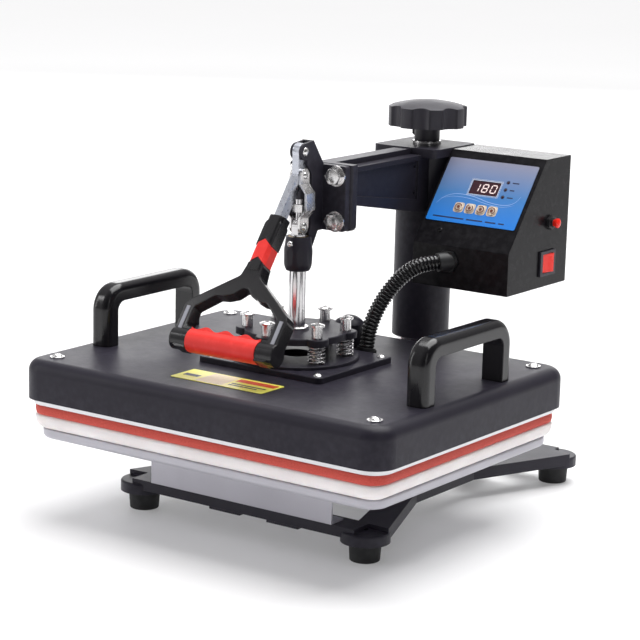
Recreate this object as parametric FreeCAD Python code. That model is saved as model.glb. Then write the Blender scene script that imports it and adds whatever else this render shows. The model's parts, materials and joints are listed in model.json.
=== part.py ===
import FreeCAD, Part

import math
import os

# Swing-away heat press: a cast base with a fixed lower table, a column that
# carries an arm, and on the arm a toggle clamp that presses the heated upper
# platen down.  Millimetres, +Z up, front towards -Y.  The origin is on the
# floor, in the middle of the overall length and width.

V = FreeCAD.Vector
X_AXIS = V(1, 0, 0)
Y_AXIS = V(0, 1, 0)
Z_AXIS = V(0, 0, 1)

# ---------------------------------------------------------------- driving sizes
FIT = 0.05                   # gap between parts that do not move on each other
RUNNING = 0.08               # radial gap of a running fit

SHAFT_Y = -65.0              # vertical press shaft
COLUMN_Y = 140.0             # vertical column

PAD_HALF_X = 190.0           # working area of the press
PAD_HALF_Y = 147.0
PAD_CORNER = 18.0

FOOT_X = 122.6
FOOT_FRONT_Y = -127.4
FOOT_REAR_Y = 195.4
FOOT_HEIGHT = 17.0
PAD_RADIUS = 21.8            # round ends of the base casting over the feet
BASE_TOP = 31.0              # top of the beams of the base casting

PLATE_BOTTOM = 71.9          # lower table
PLATE_TOP = 81.0
WHITE_PAD_TOP = 94.6
RED_PAD_TOP = 103.65
PLATEN_BOTTOM = 103.7        # heated plate
COVER_BOTTOM = 108.7
COVER_TOP = 144.6
COVER_HALF_X = 195.2
COVER_HALF_Y = 152.2
COVER_CORNER = 22.0
COVER_WALL = 2.0

MOUNT_TOP = 150.0            # square plate on the cover
RING_TOP = 153.0             # round plate on the square plate
DISC_BOTTOM = 169.5          # floating flange
DISC_TOP = 175.5
BOLT_CIRCLE = 44.0
BOLT_COUNT = 6
BOLT_HEAD_BOTTOM = 186.0     # the flange floats up to this height

SHAFT_RADIUS = 7.5
LEVER_PIVOT_Z = 334.0        # the three toggle pivots stand in line when closed
LINK_TOP_Z = 313.0
LINK_BOTTOM_Z = 268.0
LEVER_HALF_THICK = 3.5
EAR_OUTER = 5.9
EAR_INNER = 3.6
LOBE_RADIUS = 7.5

HANDLE_ANGLE = 53.8          # slope of the handle below the horizontal
HANDLE_Y = SHAFT_Y - 5.0     # the handle's centre line starts here, beside the link top
HANDLE_Z = 310.0

POST_RADIUS = 22.5
SLEEVE_RADIUS = 27.4
SLEEVE_BOTTOM = 137.0
BOSS_RADIUS = 33.0
BOSS_BOTTOM = 261.0
ARM_TOP = 322.0
KNOB_BOTTOM = 338.5
KNOB_TOP = 362.7
KNOB_RADIUS = 37.0

BOX_LEFT = 37.3              # control box
BOX_RIGHT = 138.8
BOX_FRONT = 65.0
BOX_BACK = 171.0
BOX_BOTTOM = 203.0
BOX_FRONT_TOP = 241.9        # the vertical front ends here and the panel slopes back
BOX_TOP = 321.2
BOX_TOP_FRONT = 126.4
BOX_WALL = 1.5

CONDUIT_DIAMETER = 14.5
CONDUIT_ROUTE = [            # centre line, from the heated platen up into the control box
    (30, 3, 151),
    (30.4, 5, 164),
    (32.4, 9, 177.5),
    (36, 14.5, 190.5),
    (41, 21, 202.5),
    (46.8, 28.5, 213),
    (53.6, 37, 221.5),
    (61.5, 46.5, 226.3),
    (69.3, 56.8, 227.1),
]


# ---------------------------------------------------------------- helpers
def block(x0, x1, y0, y1, z0, z1):
    return Part.makeBox(x1 - x0, y1 - y0, z1 - z0, V(x0, y0, z0))


def rod(radius, length, start, axis=Z_AXIS):
    return Part.makeCylinder(radius, length, start, axis)


def ring(outer, inner, length, start, axis=Z_AXIS):
    return rod(outer, length, start, axis).cut(rod(inner, length, start, axis))


def join(shapes):
    first = shapes[0]
    return first.multiFuse(shapes[1:]).removeSplitter() if len(shapes) > 1 else first


def prism(points, direction):
    wire = Part.makePolygon([V(*p) for p in points + points[:1]])
    return Part.Face(wire).extrude(direction)


def rounded_slab(half_x, half_y, z0, z1, corner, centre_y=0.0):
    slab = block(-half_x, half_x, centre_y - half_y, centre_y + half_y, z0, z1)
    upright = [e for e in slab.Edges if abs(e.Vertexes[0].Z - e.Vertexes[1].Z) > 0.5]
    return slab.makeFillet(corner, upright)


def edges_at(shape, z):
    return [e for e in shape.Edges if all(abs(v.Z - z) < 1e-4 for v in e.Vertexes)]


def round_rim(shape, z, radius):
    return shape.makeFillet(radius, edges_at(shape, z))


def hexagon(across_flats, length, start, axis=Z_AXIS, turn=0.0):
    corner = across_flats / math.sqrt(3)
    points = [
        V(corner * math.cos(math.radians(turn + 60 * k)), corner * math.sin(math.radians(turn + 60 * k)), 0)
        for k in range(6)
    ]
    solid = Part.Face(Part.makePolygon(points + points[:1])).extrude(V(0, 0, length))
    solid.Placement = FreeCAD.Placement(start, FreeCAD.Rotation(Z_AXIS, axis))
    return solid


def capsule(y0, z0, y1, z1, radius, x0, x1):
    # a bar with round ends in a plane of constant x
    length = math.hypot(y1 - y0, z1 - z0)
    side_y = (z1 - z0) / length * radius
    side_z = -(y1 - y0) / length * radius
    corners = [
        (x0, y0 + side_y, z0 + side_z),
        (x0, y1 + side_y, z1 + side_z),
        (x0, y1 - side_y, z1 - side_z),
        (x0, y0 - side_y, z0 - side_z),
    ]
    ends = [rod(radius, x1 - x0, V(x0, y, z), X_AXIS) for y, z in ((y0, z0), (y1, z1))]
    return join([prism(corners, V(x1 - x0, 0, 0))] + ends)


def dome(radius, height, centre, axis=Z_AXIS):
    # a shallow cap standing on a circle
    sphere_radius = (radius * radius + height * height) / (2 * height)
    ball = Part.makeSphere(sphere_radius, V(0, 0, height - sphere_radius))
    cap = ball.common(Part.makeCylinder(radius * 1.01, height + 1))
    cap.Placement = FreeCAD.Placement(centre, FreeCAD.Rotation(Z_AXIS, axis))
    return cap


def pan_head(radius, height, centre, axis=Z_AXIS, slot=True):
    head = dome(radius, height, centre, axis)
    if not slot:
        return head
    cut = join([
        block(-radius * 0.55, radius * 0.55, -0.45, 0.45, height * 0.45, height + 1),
        block(-0.45, 0.45, -radius * 0.55, radius * 0.55, height * 0.45, height + 1),
    ])
    cut.Placement = FreeCAD.Placement(centre, FreeCAD.Rotation(Z_AXIS, axis))
    return head.cut(cut)


def in_handle_frame(shape):
    # local x is across, local y runs back up the handle, local z faces the user
    shape = shape.copy()
    turn = FreeCAD.Rotation(X_AXIS, HANDLE_ANGLE)
    shape.Placement = FreeCAD.Placement(V(0, HANDLE_Y, HANDLE_Z), turn).multiply(shape.Placement)
    return shape


def on_panel(shape):
    # local x is across from the box's left side, local y up the slope, local z out of the panel
    shape = shape.copy()
    slope = math.degrees(math.atan2(BOX_TOP - BOX_FRONT_TOP, BOX_TOP_FRONT - BOX_FRONT))
    turn = FreeCAD.Rotation(X_AXIS, slope)
    shape.Placement = FreeCAD.Placement(V(0, BOX_FRONT, BOX_FRONT_TOP), turn).multiply(shape.Placement)
    return shape


def save(name, shapes):
    solids = [s for shape in shapes for s in shape.Solids]
    for solid in solids:
        if not solid.isValid():
            raise ValueError(name + " is not a valid solid")
    shape = solids[0] if len(solids) == 1 else Part.makeCompound(solids)
    shape.exportStep("parts/" + name + ".step")
    box = shape.BoundBox
    print("%-20s %2d solids %9.0f mm3  x %7.1f %7.1f  y %7.1f %7.1f  z %6.1f %6.1f" % (
        name, len(solids), shape.Volume, box.XMin, box.XMax, box.YMin, box.YMax, box.ZMin, box.ZMax))


# ---------------------------------------------------------------- base
FEET = [(sx * FOOT_X, y) for sx in (-1, 1) for y in (FOOT_FRONT_Y, FOOT_REAR_Y)]
FOOT_SCREW_RADIUS = 2.5
RISER_HALF_X = 99.5
RISER_HALF_Y = 81.0
RISER_SHEET = 2.0
RISER_SCREWS = [(sx * 80.0, SHAFT_Y + sy * 71.0) for sx in (-1, 1) for sy in (-1, 1)]
SOCKET_TOP = 52.0


def beam_outline(side):
    return [
        (side * (FOOT_X + 21.0), FOOT_FRONT_Y + 4.0),
        (side * 100.0, -12.0),
        (side * 100.0, 86.0),
        (side * (FOOT_X + 21.0), FOOT_REAR_Y - 6.0),
        (side * (FOOT_X - 14.0), FOOT_REAR_Y + 6.0),
        (side * 78.0, 92.0),
        (side * 78.0, -18.0),
        (side * (FOOT_X - 12.0), FOOT_FRONT_Y + 6.0),
    ]


def base_casting():
    height = BASE_TOP - FOOT_HEIGHT
    pads = [round_rim(rod(PAD_RADIUS, 10.0, V(x, y, FOOT_HEIGHT)), 27.0, 2.0) for x, y in FEET]
    beams = [
        prism([(x, y, FOOT_HEIGHT + 3.0) for x, y in beam_outline(side)], V(0, 0, height - 3.0))
        for side in (-1, 1)
    ]
    front_bar = block(-FOOT_X, FOOT_X, SHAFT_Y - 80.0, SHAFT_Y - 55.0, 21.5, BASE_TOP)
    lugs = [block(x0, x0 + 34.0, SHAFT_Y - 79.0, SHAFT_Y - 58.0, 19.0, 22.0) for x0 in (-34.5, 29.0)]
    mid_bar = block(-90.0, 90.0, 0.0, 24.0, 21.5, BASE_TOP)
    rear_bar = block(-FOOT_X, FOOT_X, FOOT_REAR_Y - 14.0, FOOT_REAR_Y + 10.0, 21.5, BASE_TOP)
    bridge = block(-84.0, 84.0, COLUMN_Y - 22.0, COLUMN_Y + 22.0, 20.0, BASE_TOP)
    spine = block(-22.0, 22.0, 10.0, FOOT_REAR_Y, 20.0, BASE_TOP)
    socket = rod(36.0, SOCKET_TOP - FOOT_HEIGHT - 3.0, V(0, COLUMN_Y, FOOT_HEIGHT + 3.0))
    socket = round_rim(socket, SOCKET_TOP, 4.0)
    body = join(pads + beams + [front_bar] + lugs + [mid_bar, rear_bar, bridge, spine, socket])
    cuts = [rod(POST_RADIUS + FIT, 40.0, V(0, COLUMN_Y, 24.0))]
    cuts += [rod(FOOT_SCREW_RADIUS + FIT, 12.0, V(x, y, FOOT_HEIGHT - 1.0)) for x, y in FEET]
    cuts += [rod(2.5 + FIT, 20.0, V(x, y, 18.0)) for x, y in RISER_SCREWS]
    return body.cut(join(cuts))


def rubber_foot(x, y):
    cone = Part.makeCone(13.2, 14.5, FOOT_HEIGHT, V(x, y, 0))
    cone = round_rim(cone, 0.0, 1.2)
    recess = rod(6.0, 9.0, V(x, y, -1.0))
    hole = rod(FOOT_SCREW_RADIUS + FIT, 20.0, V(x, y, 0))
    return cone.cut(join([recess, hole]))


def foot_screw(x, y):
    shank = rod(FOOT_SCREW_RADIUS, 19.0, V(x, y, 7.9))
    head = pan_head(5.0, 3.2, V(x, y, 7.95), V(0, 0, -1))
    return join([shank, head])


def riser_channel():
    y0 = SHAFT_Y - RISER_HALF_Y
    y1 = SHAFT_Y + RISER_HALF_Y
    top = PLATE_BOTTOM - FIT
    web = block(-RISER_HALF_X, RISER_HALF_X, y0, y1, top - RISER_SHEET, top)
    walls = [
        block(-RISER_HALF_X, RISER_HALF_X, y, y + RISER_SHEET, BASE_TOP + FIT, top)
        for y in (y0, y1 - RISER_SHEET)
    ]
    flanges = [
        block(-RISER_HALF_X, RISER_HALF_X, y, y + 18.0, BASE_TOP + FIT, BASE_TOP + FIT + RISER_SHEET)
        for y in (y0, y1 - 18.0)
    ]
    shell = join([web] + walls + flanges)
    holes = [rod(2.5 + FIT, 10.0, V(x, y, BASE_TOP - 2.0)) for x, y in RISER_SCREWS]
    holes += [rod(3.0 + FIT, 10.0, V(x, y, top - 6.0)) for x, y in RISER_SCREWS]
    return shell.cut(join(holes))


def riser_screw(x, y):
    top = BASE_TOP + RISER_SHEET + 2 * FIT
    return join([rod(2.5, 12.0, V(x, y, top - 12.0)), pan_head(5.0, 3.0, V(x, y, top))])


def plate_bolt(x, y):
    under = PLATE_BOTTOM - RISER_SHEET - 2 * FIT
    return join([
        hexagon(10.0, 4.0, V(x, y, under - 4.0)),
        rod(3.0, 8.0, V(x, y, under)),
    ])


def lower_plate():
    plate = rounded_slab(185.0, 142.0, PLATE_BOTTOM, PLATE_TOP, PAD_CORNER, SHAFT_Y)
    plate = round_rim(plate, PLATE_BOTTOM, 4.5)
    plate = round_rim(plate, PLATE_TOP, 1.5)
    holes = [rod(3.0 + FIT, 7.0, V(x, y, PLATE_BOTTOM - 1.0)) for x, y in RISER_SCREWS]
    return plate.cut(join(holes))


def table_pad(z0, z1, rim):
    pad = rounded_slab(PAD_HALF_X, PAD_HALF_Y, z0, z1, PAD_CORNER, SHAFT_Y)
    pad = round_rim(pad, z0, rim)
    return round_rim(pad, z1, rim * 0.5)


def inner_post():
    return ring(POST_RADIUS, 18.0, 272.0, V(0, COLUMN_Y, 24.0 + FIT))


SCREW_RADIUS = 8.0
SCREW_BOTTOM = 220.0
SCREW_PITCH = 3.0


def post_nut():
    nut = rod(18.0 - FIT, 25.0, V(0, COLUMN_Y, 272.0))
    lip = rod(POST_RADIUS, 2.0, V(0, COLUMN_Y, 296.0 + 2 * FIT))
    return join([nut, lip]).cut(rod(SCREW_RADIUS + RUNNING, 40.0, V(0, COLUMN_Y, 265.0)))


# ---------------------------------------------------------------- pressure knob
STEM_BOTTOM = ARM_TOP + 2.6


def thrust_collar():
    return ring(13.5, SCREW_RADIUS + RUNNING, 2.5, V(0, COLUMN_Y, ARM_TOP + FIT))


def pressure_screw():
    # the shoulder below the arm lifts the arm with the screw
    core = rod(SCREW_RADIUS, KNOB_BOTTOM + 5.9 - SCREW_BOTTOM, V(0, COLUMN_Y, SCREW_BOTTOM))
    shoulder = rod(14.0, 4.0, V(0, COLUMN_Y, 301.0))
    grooves = [
        ring(SCREW_RADIUS + 1.0, SCREW_RADIUS - 0.9, 1.4, V(0, COLUMN_Y, SCREW_BOTTOM + 4.0 + SCREW_PITCH * k))
        for k in range(15)
    ]
    return join([core.cut(join(grooves)), shoulder])


def knob_stem():
    stem = rod(12.0, KNOB_BOTTOM - STEM_BOTTOM, V(0, COLUMN_Y, STEM_BOTTOM))
    stem = round_rim(stem, STEM_BOTTOM, 0.8)
    stem = stem.cut(rod(SCREW_RADIUS + FIT, 40.0, V(0, COLUMN_Y, STEM_BOTTOM - 1.0)))
    boss = rod(3.4, 4.0, V(-14.2, COLUMN_Y, 331.5), X_AXIS)
    socket = hexagon(3.0, 2.5, V(-14.3, COLUMN_Y, 331.5), X_AXIS)
    return join([stem, boss]).cut(socket)


def knob_cap():
    lobes = 8
    valley = 4.2
    height = KNOB_TOP - KNOB_BOTTOM
    body = rod(KNOB_RADIUS, height, V(0, 0, 0))
    pitch = KNOB_RADIUS + 7.0
    scallops = []
    for k in range(lobes):
        angle = math.radians(22.5 + 45.0 * k)
        centre = V(pitch * math.cos(angle), pitch * math.sin(angle), -1.0)
        scallops.append(rod(pitch - KNOB_RADIUS + valley, height + 2.0, centre))
    body = body.cut(join(scallops))
    upright = [e for e in body.Edges if abs(e.Vertexes[0].Z - e.Vertexes[-1].Z) > 1.0]
    body = body.makeFillet(2.5, upright)
    crown = join([
        dome(KNOB_RADIUS + 2.0, 6.5, V(0, 0, height - 6.5)),
        rod(KNOB_RADIUS + 2.0, height - 6.5, V(0, 0, 0)),
    ])
    body = body.common(crown)
    recess = rod(KNOB_RADIUS - 9.0, 9.0, V(0, 0, -1.0)).cut(rod(14.0, 10.0, V(0, 0, -1.0)))
    body = body.cut(recess)
    body = body.cut(rod(SCREW_RADIUS + FIT, 7.0, V(0, 0, -1.0)))
    body.translate(V(0, COLUMN_Y, KNOB_BOTTOM + FIT))
    return body


# ---------------------------------------------------------------- arm
FLANGE_FRONT = SHAFT_Y + 34.0
FLANGE_BACK = SHAFT_Y + 43.0
FLANGE_HALF_X = 32.0
FLANGE_BOTTOM = 261.5
FLANGE_TOP = 321.0
BRACKET_FLANGE = 7.0
BRACKET_HALF_X = 30.3
BRACKET_BOLTS = [(sx * 20.9, z) for sx in (-1, 1) for z in (311.5, 271.0)]
BOLT_M8 = 4.0
WEB_HALF_X = 20.0            # the arm between its end flange and the column boss
WEB_TOP = 316.0
RIB_HALF_X = 8.0             # raised rib along the top of the arm


def arm_casting():
    flange = block(-FLANGE_HALF_X, FLANGE_HALF_X, FLANGE_FRONT, FLANGE_BACK, FLANGE_BOTTOM, FLANGE_TOP)
    across = [e for e in flange.Edges if abs(e.Vertexes[0].Y - e.Vertexes[1].Y) > 0.5]
    flange = flange.makeFillet(5.0, [e for e in across if e.Vertexes[0].Z < FLANGE_BOTTOM + 1.0])
    front_edges = [
        e for e in flange.Edges
        if all(abs(v.Y - FLANGE_FRONT) < 1e-4 for v in e.Vertexes) and abs(e.Vertexes[0].Z - e.Vertexes[1].Z) > 20.0
    ]
    flange = flange.makeFillet(2.5, front_edges)
    web_side = [
        (-WEB_HALF_X, FLANGE_BACK - 2.0, 284.5),
        (-WEB_HALF_X, COLUMN_Y - 38.0, BOSS_BOTTOM + 1.0),
        (-WEB_HALF_X, COLUMN_Y, BOSS_BOTTOM + 1.0),
        (-WEB_HALF_X, COLUMN_Y, WEB_TOP),
        (-WEB_HALF_X, FLANGE_BACK - 2.0, WEB_TOP),
    ]
    web = prism(web_side, V(2 * WEB_HALF_X, 0, 0))
    boss = round_rim(rod(BOSS_RADIUS, ARM_TOP - BOSS_BOTTOM, V(0, COLUMN_Y, BOSS_BOTTOM)), ARM_TOP, 2.0)
    top = block(-34.0, 36.0, COLUMN_Y - 40.0, COLUMN_Y + 31.0, ARM_TOP - 8.0, ARM_TOP)
    upright = [e for e in top.Edges if abs(e.Vertexes[0].Z - e.Vertexes[1].Z) > 0.5]
    top = top.makeFillet(5.0, upright)
    rib = block(-RIB_HALF_X, RIB_HALF_X, FLANGE_FRONT, COLUMN_Y, WEB_TOP - 4.0, FLANGE_TOP)
    body = join([flange, web, boss, top, rib])
    # a shallow pocket in each side face, between its borders
    side = [
        (FLANGE_BACK + 4.0, 291.5),
        (COLUMN_Y - 44.0, 275.0),
        (COLUMN_Y - 44.0, WEB_TOP - 4.5),
        (FLANGE_BACK + 4.0, WEB_TOP - 4.5),
    ]
    cuts = [prism([(sx * (WEB_HALF_X - 2.5), y, z) for y, z in side], V(sx * 10.0, 0, 0)) for sx in (-1, 1)]
    cuts.append(rod(SLEEVE_RADIUS + FIT, 306.0 - BOSS_BOTTOM + 1.0, V(0, COLUMN_Y, BOSS_BOTTOM - 1.0)))
    cuts.append(rod(SCREW_RADIUS + 0.6, 30.0, V(0, COLUMN_Y, 300.0)))
    cuts += [rod(BOLT_M8 + FIT, 12.0, V(x, FLANGE_FRONT - 1.0, z), Y_AXIS) for x, z in BRACKET_BOLTS]
    cuts += [rod(1.8, 6.0, V(WEB_HALF_X - 5.0, COLUMN_Y - 47.0, z), X_AXIS) for z in (281.0, 306.0)]
    cuts += [rod(2.5 + FIT, 14.0, V(26.0, y, z), X_AXIS) for y, z in BOX_BOLTS]
    return body.cut(join(cuts))


BOX_BOLTS = [(COLUMN_Y - 10.0, 275.0), (COLUMN_Y + 10.0, 275.0)]


def sleeve_tube():
    top = 306.0 - FIT
    tube = ring(SLEEVE_RADIUS, POST_RADIUS + RUNNING, top - SLEEVE_BOTTOM, V(0, COLUMN_Y, SLEEVE_BOTTOM))
    return tube.makeFillet(1.0, [e for e in edges_at(tube, SLEEVE_BOTTOM) if e.Curve.Radius > 25.0])


EAR_WEB_FRONT = 9.5          # the two ears are joined from here back to the flange
EAR_PEAK = (11.6, 343.2)


def ear(side):
    x0 = EAR_INNER if side > 0 else -EAR_OUTER
    width = EAR_OUTER - EAR_INNER
    lobe = rod(LOBE_RADIUS, width, V(x0, 0, LEVER_PIVOT_Z), X_AXIS)
    back = [
        (x0, 2.5, LEVER_PIVOT_Z - 7.0),
        (x0, 2.5, 322.0),
        (x0, EAR_WEB_FRONT - 1.0, 315.0),
        (x0, EAR_WEB_FRONT + 1.0, 312.0),
        (x0, EAR_WEB_FRONT + 1.0, EAR_PEAK[1] - 0.4),
        (x0, 0.0, LEVER_PIVOT_Z + LOBE_RADIUS),
    ]
    return join([lobe, prism(back, V(width, 0, 0))])


def guide_barrel():
    profile = [
        V(0, 0, 228.5), V(10.4, 0, 228.5), V(12.6, 0, 236.0), V(12.9, 0, 246.0), V(11.0, 0, 259.0), V(0, 0, 259.0),
    ]
    edges = [
        Part.LineSegment(profile[0], profile[1]).toShape(),
        Part.Arc(profile[1], V(11.9, 0, 231.8), profile[2]).toShape(),
        Part.LineSegment(profile[2], profile[3]).toShape(),
        Part.LineSegment(profile[3], profile[4]).toShape(),
        Part.LineSegment(profile[4], profile[5]).toShape(),
        Part.LineSegment(profile[5], profile[0]).toShape(),
    ]
    turned = Part.Face(Part.Wire(edges)).revolve(V(0, 0, 0), Z_AXIS, 360)
    flats = [
        V(13.4 * math.cos(math.radians(22.5 + 45 * k)), 13.4 * math.sin(math.radians(22.5 + 45 * k)), 228.0)
        for k in range(8)
    ]
    octagon = Part.Face(Part.makePolygon(flats + flats[:1])).extrude(V(0, 0, 32.0))
    return turned.common(octagon)


BUSH_RADIUS = 9.0


def toggle_bracket():
    front = FLANGE_FRONT - SHAFT_Y - BRACKET_FLANGE
    back = FLANGE_FRONT - SHAFT_Y - FIT
    flange = block(-BRACKET_HALF_X, BRACKET_HALF_X, front, back, FLANGE_BOTTOM + 0.7, FLANGE_TOP - 0.4)
    across = [e for e in flange.Edges if abs(e.Vertexes[0].Y - e.Vertexes[1].Y) > 0.5]
    flange = flange.makeFillet(3.0, across)
    web = prism([
        (-EAR_OUTER, EAR_WEB_FRONT, 262.0),
        (-EAR_OUTER, EAR_WEB_FRONT, EAR_PEAK[1] - 0.4),
        (-EAR_OUTER, *EAR_PEAK),
        (-EAR_OUTER, front + 1.0, FLANGE_TOP - 0.4),
        (-EAR_OUTER, front + 1.0, 262.0),
    ], V(2 * EAR_OUTER, 0, 0))
    gusset = prism([
        (-EAR_OUTER, 6.0, 236.0),
        (-EAR_OUTER, 6.0, 258.0),
        (-EAR_OUTER, EAR_WEB_FRONT, 266.0),
        (-EAR_OUTER, back, 266.0),
        (-EAR_OUTER, back, FLANGE_BOTTOM + 0.7),
        (-EAR_OUTER, 21.0, FLANGE_BOTTOM + 0.7),
    ], V(2 * EAR_OUTER, 0, 0))
    body = join([flange, web, gusset, guide_barrel(), ear(-1), ear(1)])
    cuts = [rod(BUSH_RADIUS + FIT, 40.0, V(0, 0, 224.0))]
    cuts.append(rod(3.0 + FIT, 30.0, V(-15.0, 0, LEVER_PIVOT_Z), X_AXIS))
    cuts += [rod(BOLT_M8 + FIT, 14.0, V(x, front - 5.0, z), Y_AXIS) for x, z in BRACKET_BOLTS]
    cuts.append(rod(1.6 + FIT, 8.0, V(0, -16.0, 253.0), Y_AXIS))
    body = body.cut(join(cuts))
    body.translate(V(0, SHAFT_Y, 0))
    return body


def bracket_bolt(x, z):
    face = FLANGE_FRONT - BRACKET_FLANGE - FIT
    washer = rod(9.3, 1.6, V(x, face - 1.6, z), Y_AXIS)
    head = hexagon(13.5, 6.5, V(x, face - 8.0, z), Y_AXIS)
    crown = dome(6.7, 0.7, V(x, face - 8.0, z), V(0, -1, 0))
    shank = rod(BOLT_M8, 16.0, V(x, face - 0.1, z), Y_AXIS)
    return join([washer, head, crown, shank])


def guide_bush():
    bush = ring(BUSH_RADIUS, SHAFT_RADIUS + RUNNING, 30.0, V(0, SHAFT_Y, 228.8))
    return bush


def barrel_screw():
    seat = SHAFT_Y - 12.4
    head = pan_head(3.0, 2.2, V(0, seat, 253.0), V(0, -1, 0))
    shank = rod(1.6, 2.8, V(0, seat - 0.1, 253.0), Y_AXIS)
    return join([head, shank])


def lever_pin():
    shank = rod(3.0, 2 * EAR_OUTER + 0.2, V(-EAR_OUTER - 0.1, SHAFT_Y, LEVER_PIVOT_Z), X_AXIS)
    heads = [
        dome(4.2, 1.9, V(side * (EAR_OUTER + FIT), SHAFT_Y, LEVER_PIVOT_Z), V(side, 0, 0))
        for side in (-1, 1)
    ]
    return join([shank] + heads)


# ---------------------------------------------------------------- lever and handle
TANG_LENGTH = 98.0
TANG_HALF_WIDTH = 5.2
NECK_TOP = 40.0
NECK_HALF_X = 8.4
NECK_HALF_Z = 7.6
FRAME_HALF_X = 55.5
GRIP_INNER = 156.0
GRIP_OUTER = 176.0
ARM_HALF_Z = 6.5


def lever_bar():
    upper = capsule(0.0, LEVER_PIVOT_Z, 0.0, 311.0, 7.0, -LEVER_HALF_THICK, LEVER_HALF_THICK)
    upper = join([upper, rod(7.4, 2 * LEVER_HALF_THICK, V(-LEVER_HALF_THICK, 0, LEVER_PIVOT_Z), X_AXIS)])
    upper = upper.cut(rod(3.06, 20.0, V(-10.0, 0, LEVER_PIVOT_Z), X_AXIS))
    upper.translate(V(0, SHAFT_Y, 0))
    tang = block(-LEVER_HALF_THICK, LEVER_HALF_THICK, -TANG_LENGTH, 0.0, -TANG_HALF_WIDTH, TANG_HALF_WIDTH)
    elbow = rod(TANG_HALF_WIDTH, 2 * LEVER_HALF_THICK, V(-LEVER_HALF_THICK, 0, 0), X_AXIS)
    return join([upper, in_handle_frame(tang), in_handle_frame(elbow)])


def rounded_outline(points, radius):
    # a closed outline whose corners are all rounded by the same radius or less
    edges = []
    count = len(points)
    arcs = []
    for k in range(count):
        before, here, after = V(*points[k - 1]), V(*points[k]), V(*points[(k + 1) % count])
        into = (before - here)
        out = (after - here)
        reach = min(into.Length, out.Length) * 0.45
        into.normalize()
        out.normalize()
        half = into.getAngle(out) / 2.0
        cut = min(radius / math.tan(half), reach)
        bisector = into + out
        bisector.normalize()
        size = cut * math.tan(half)
        middle = here + bisector * (size / math.sin(half) - size)
        arcs.append((here + into * cut, middle, here + out * cut))
    for k in range(count):
        start, middle, end = arcs[k]
        edges.append(Part.Arc(start, middle, end).toShape())
        edges.append(Part.LineSegment(end, arcs[(k + 1) % count][0]).toShape())
    return Part.Face(Part.Wire(edges))


def mirror_pairs(right_side):
    return right_side + [(-x, y) for x, y in reversed(right_side)]


def frame_outline():
    # right side from the neck down to the grip, distances are measured down the handle
    outer = [(NECK_HALF_X, -44.0), (NECK_HALF_X, -90.0), (10.5, -101.0), (53.0, -131.5), (FRAME_HALF_X, -137.0),
             (FRAME_HALF_X - 0.5, -168.0), (49.0, -GRIP_OUTER)]
    return [(x, y, 0) for x, y in mirror_pairs(outer)]


def opening_outline():
    inner = [(3.0, -112.5), (9.5, -119.0), (19.5, -122.5), (27.5, -123.0), (44.5, -136.5), (44.5, -GRIP_INNER)]
    return [(x, y, 0) for x, y in mirror_pairs(inner)]


def handle_frame():
    outer = rounded_outline(frame_outline(), 5.0).extrude(V(0, 0, 2 * ARM_HALF_Z))
    opening = rounded_outline(opening_outline(), 2.5).extrude(V(0, 0, 40.0))
    opening.translate(V(0, 0, -20.0))
    outer.translate(V(0, 0, -ARM_HALF_Z))
    neck = block(-NECK_HALF_X, NECK_HALF_X, -94.0, -NECK_TOP, -NECK_HALF_Z, NECK_HALF_Z)
    along = [e for e in neck.Edges if abs(e.Vertexes[0].Y - e.Vertexes[1].Y) > 1.0]
    neck = neck.makeChamfer(3.2, along)
    grip_middle = -(GRIP_INNER + GRIP_OUTER) / 2.0
    corners = [
        rod(10.0, 18.0, V(side * 46.0 - 9.0, grip_middle, 0), X_AXIS) for side in (-1, 1)
    ]
    core = rod(7.0, 80.0, V(-40.0, grip_middle, 0), X_AXIS)
    body = outer.cut(opening)
    gap = block(-37.4, 37.4, -GRIP_OUTER - 12.0, -GRIP_INNER + 8.0, -30.0, 30.0)
    gap = gap.common(block(-60.0, 60.0, -GRIP_OUTER - 12.0, -GRIP_INNER + 0.5, -30.0, 30.0))
    body = join([body.cut(gap), neck] + corners).cut(gap)
    body = join([body, core])
    pocket = block(-3.55, 3.55, -TANG_LENGTH - 0.1, 0.0, -5.25, 5.25)
    body = body.cut(pocket)
    for name in BAND_SIDES:
        body = body.cut(name)
    for side in (-1, 1):
        body = body.cut(inlay_bar(side, 0.05))
    return in_handle_frame(body)


def chevron(offset, top, bottom, peak):
    # a prism that covers the neck between two chevrons pointing up the handle
    half = NECK_HALF_X + 4.0
    points = [
        (-half, -top - peak, -20.0), (0, -top, -20.0), (half, -top - peak, -20.0),
        (half, -bottom - peak, -20.0), (0, -bottom, -20.0), (-half, -bottom - peak, -20.0),
    ]
    solid = prism(points, V(0, 0, 40.0))
    solid.translate(V(0, offset, 0))
    return solid


BAND_TOP = 64.0
BAND_BOTTOM = 81.5
BAND_PEAK = 9.0


def neck_ring(grow, inner):
    outer = block(-NECK_HALF_X - grow, NECK_HALF_X + grow, -100.0, -NECK_TOP, -NECK_HALF_Z - grow, NECK_HALF_Z + grow)
    along = [e for e in outer.Edges if abs(e.Vertexes[0].Y - e.Vertexes[1].Y) > 1.0]
    outer = outer.makeChamfer(3.2, along)
    hole = block(-NECK_HALF_X + inner, NECK_HALF_X - inner, -110.0, 0.0, -NECK_HALF_Z + inner, NECK_HALF_Z - inner)
    return outer.cut(hole)


BAND_SIDES = [neck_ring(2.0, 1.5).common(chevron(0.0, BAND_TOP - FIT, BAND_BOTTOM + FIT, BAND_PEAK))]


def handle_band():
    band = neck_ring(0.35, 1.5 - FIT).common(chevron(0.0, BAND_TOP, BAND_BOTTOM, BAND_PEAK))
    return in_handle_frame(band)


def inlay_bar(side, grow):
    bar = block(-1.9 - grow, 1.9 + grow, -164.0 - grow, -137.0 + grow, ARM_HALF_Z - 1.2 - grow, ARM_HALF_Z + 0.5)
    bar.translate(V(side * 50.0, 0, 0))
    return bar


def handle_inlay(side):
    return in_handle_frame(inlay_bar(side, 0.0))


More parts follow.
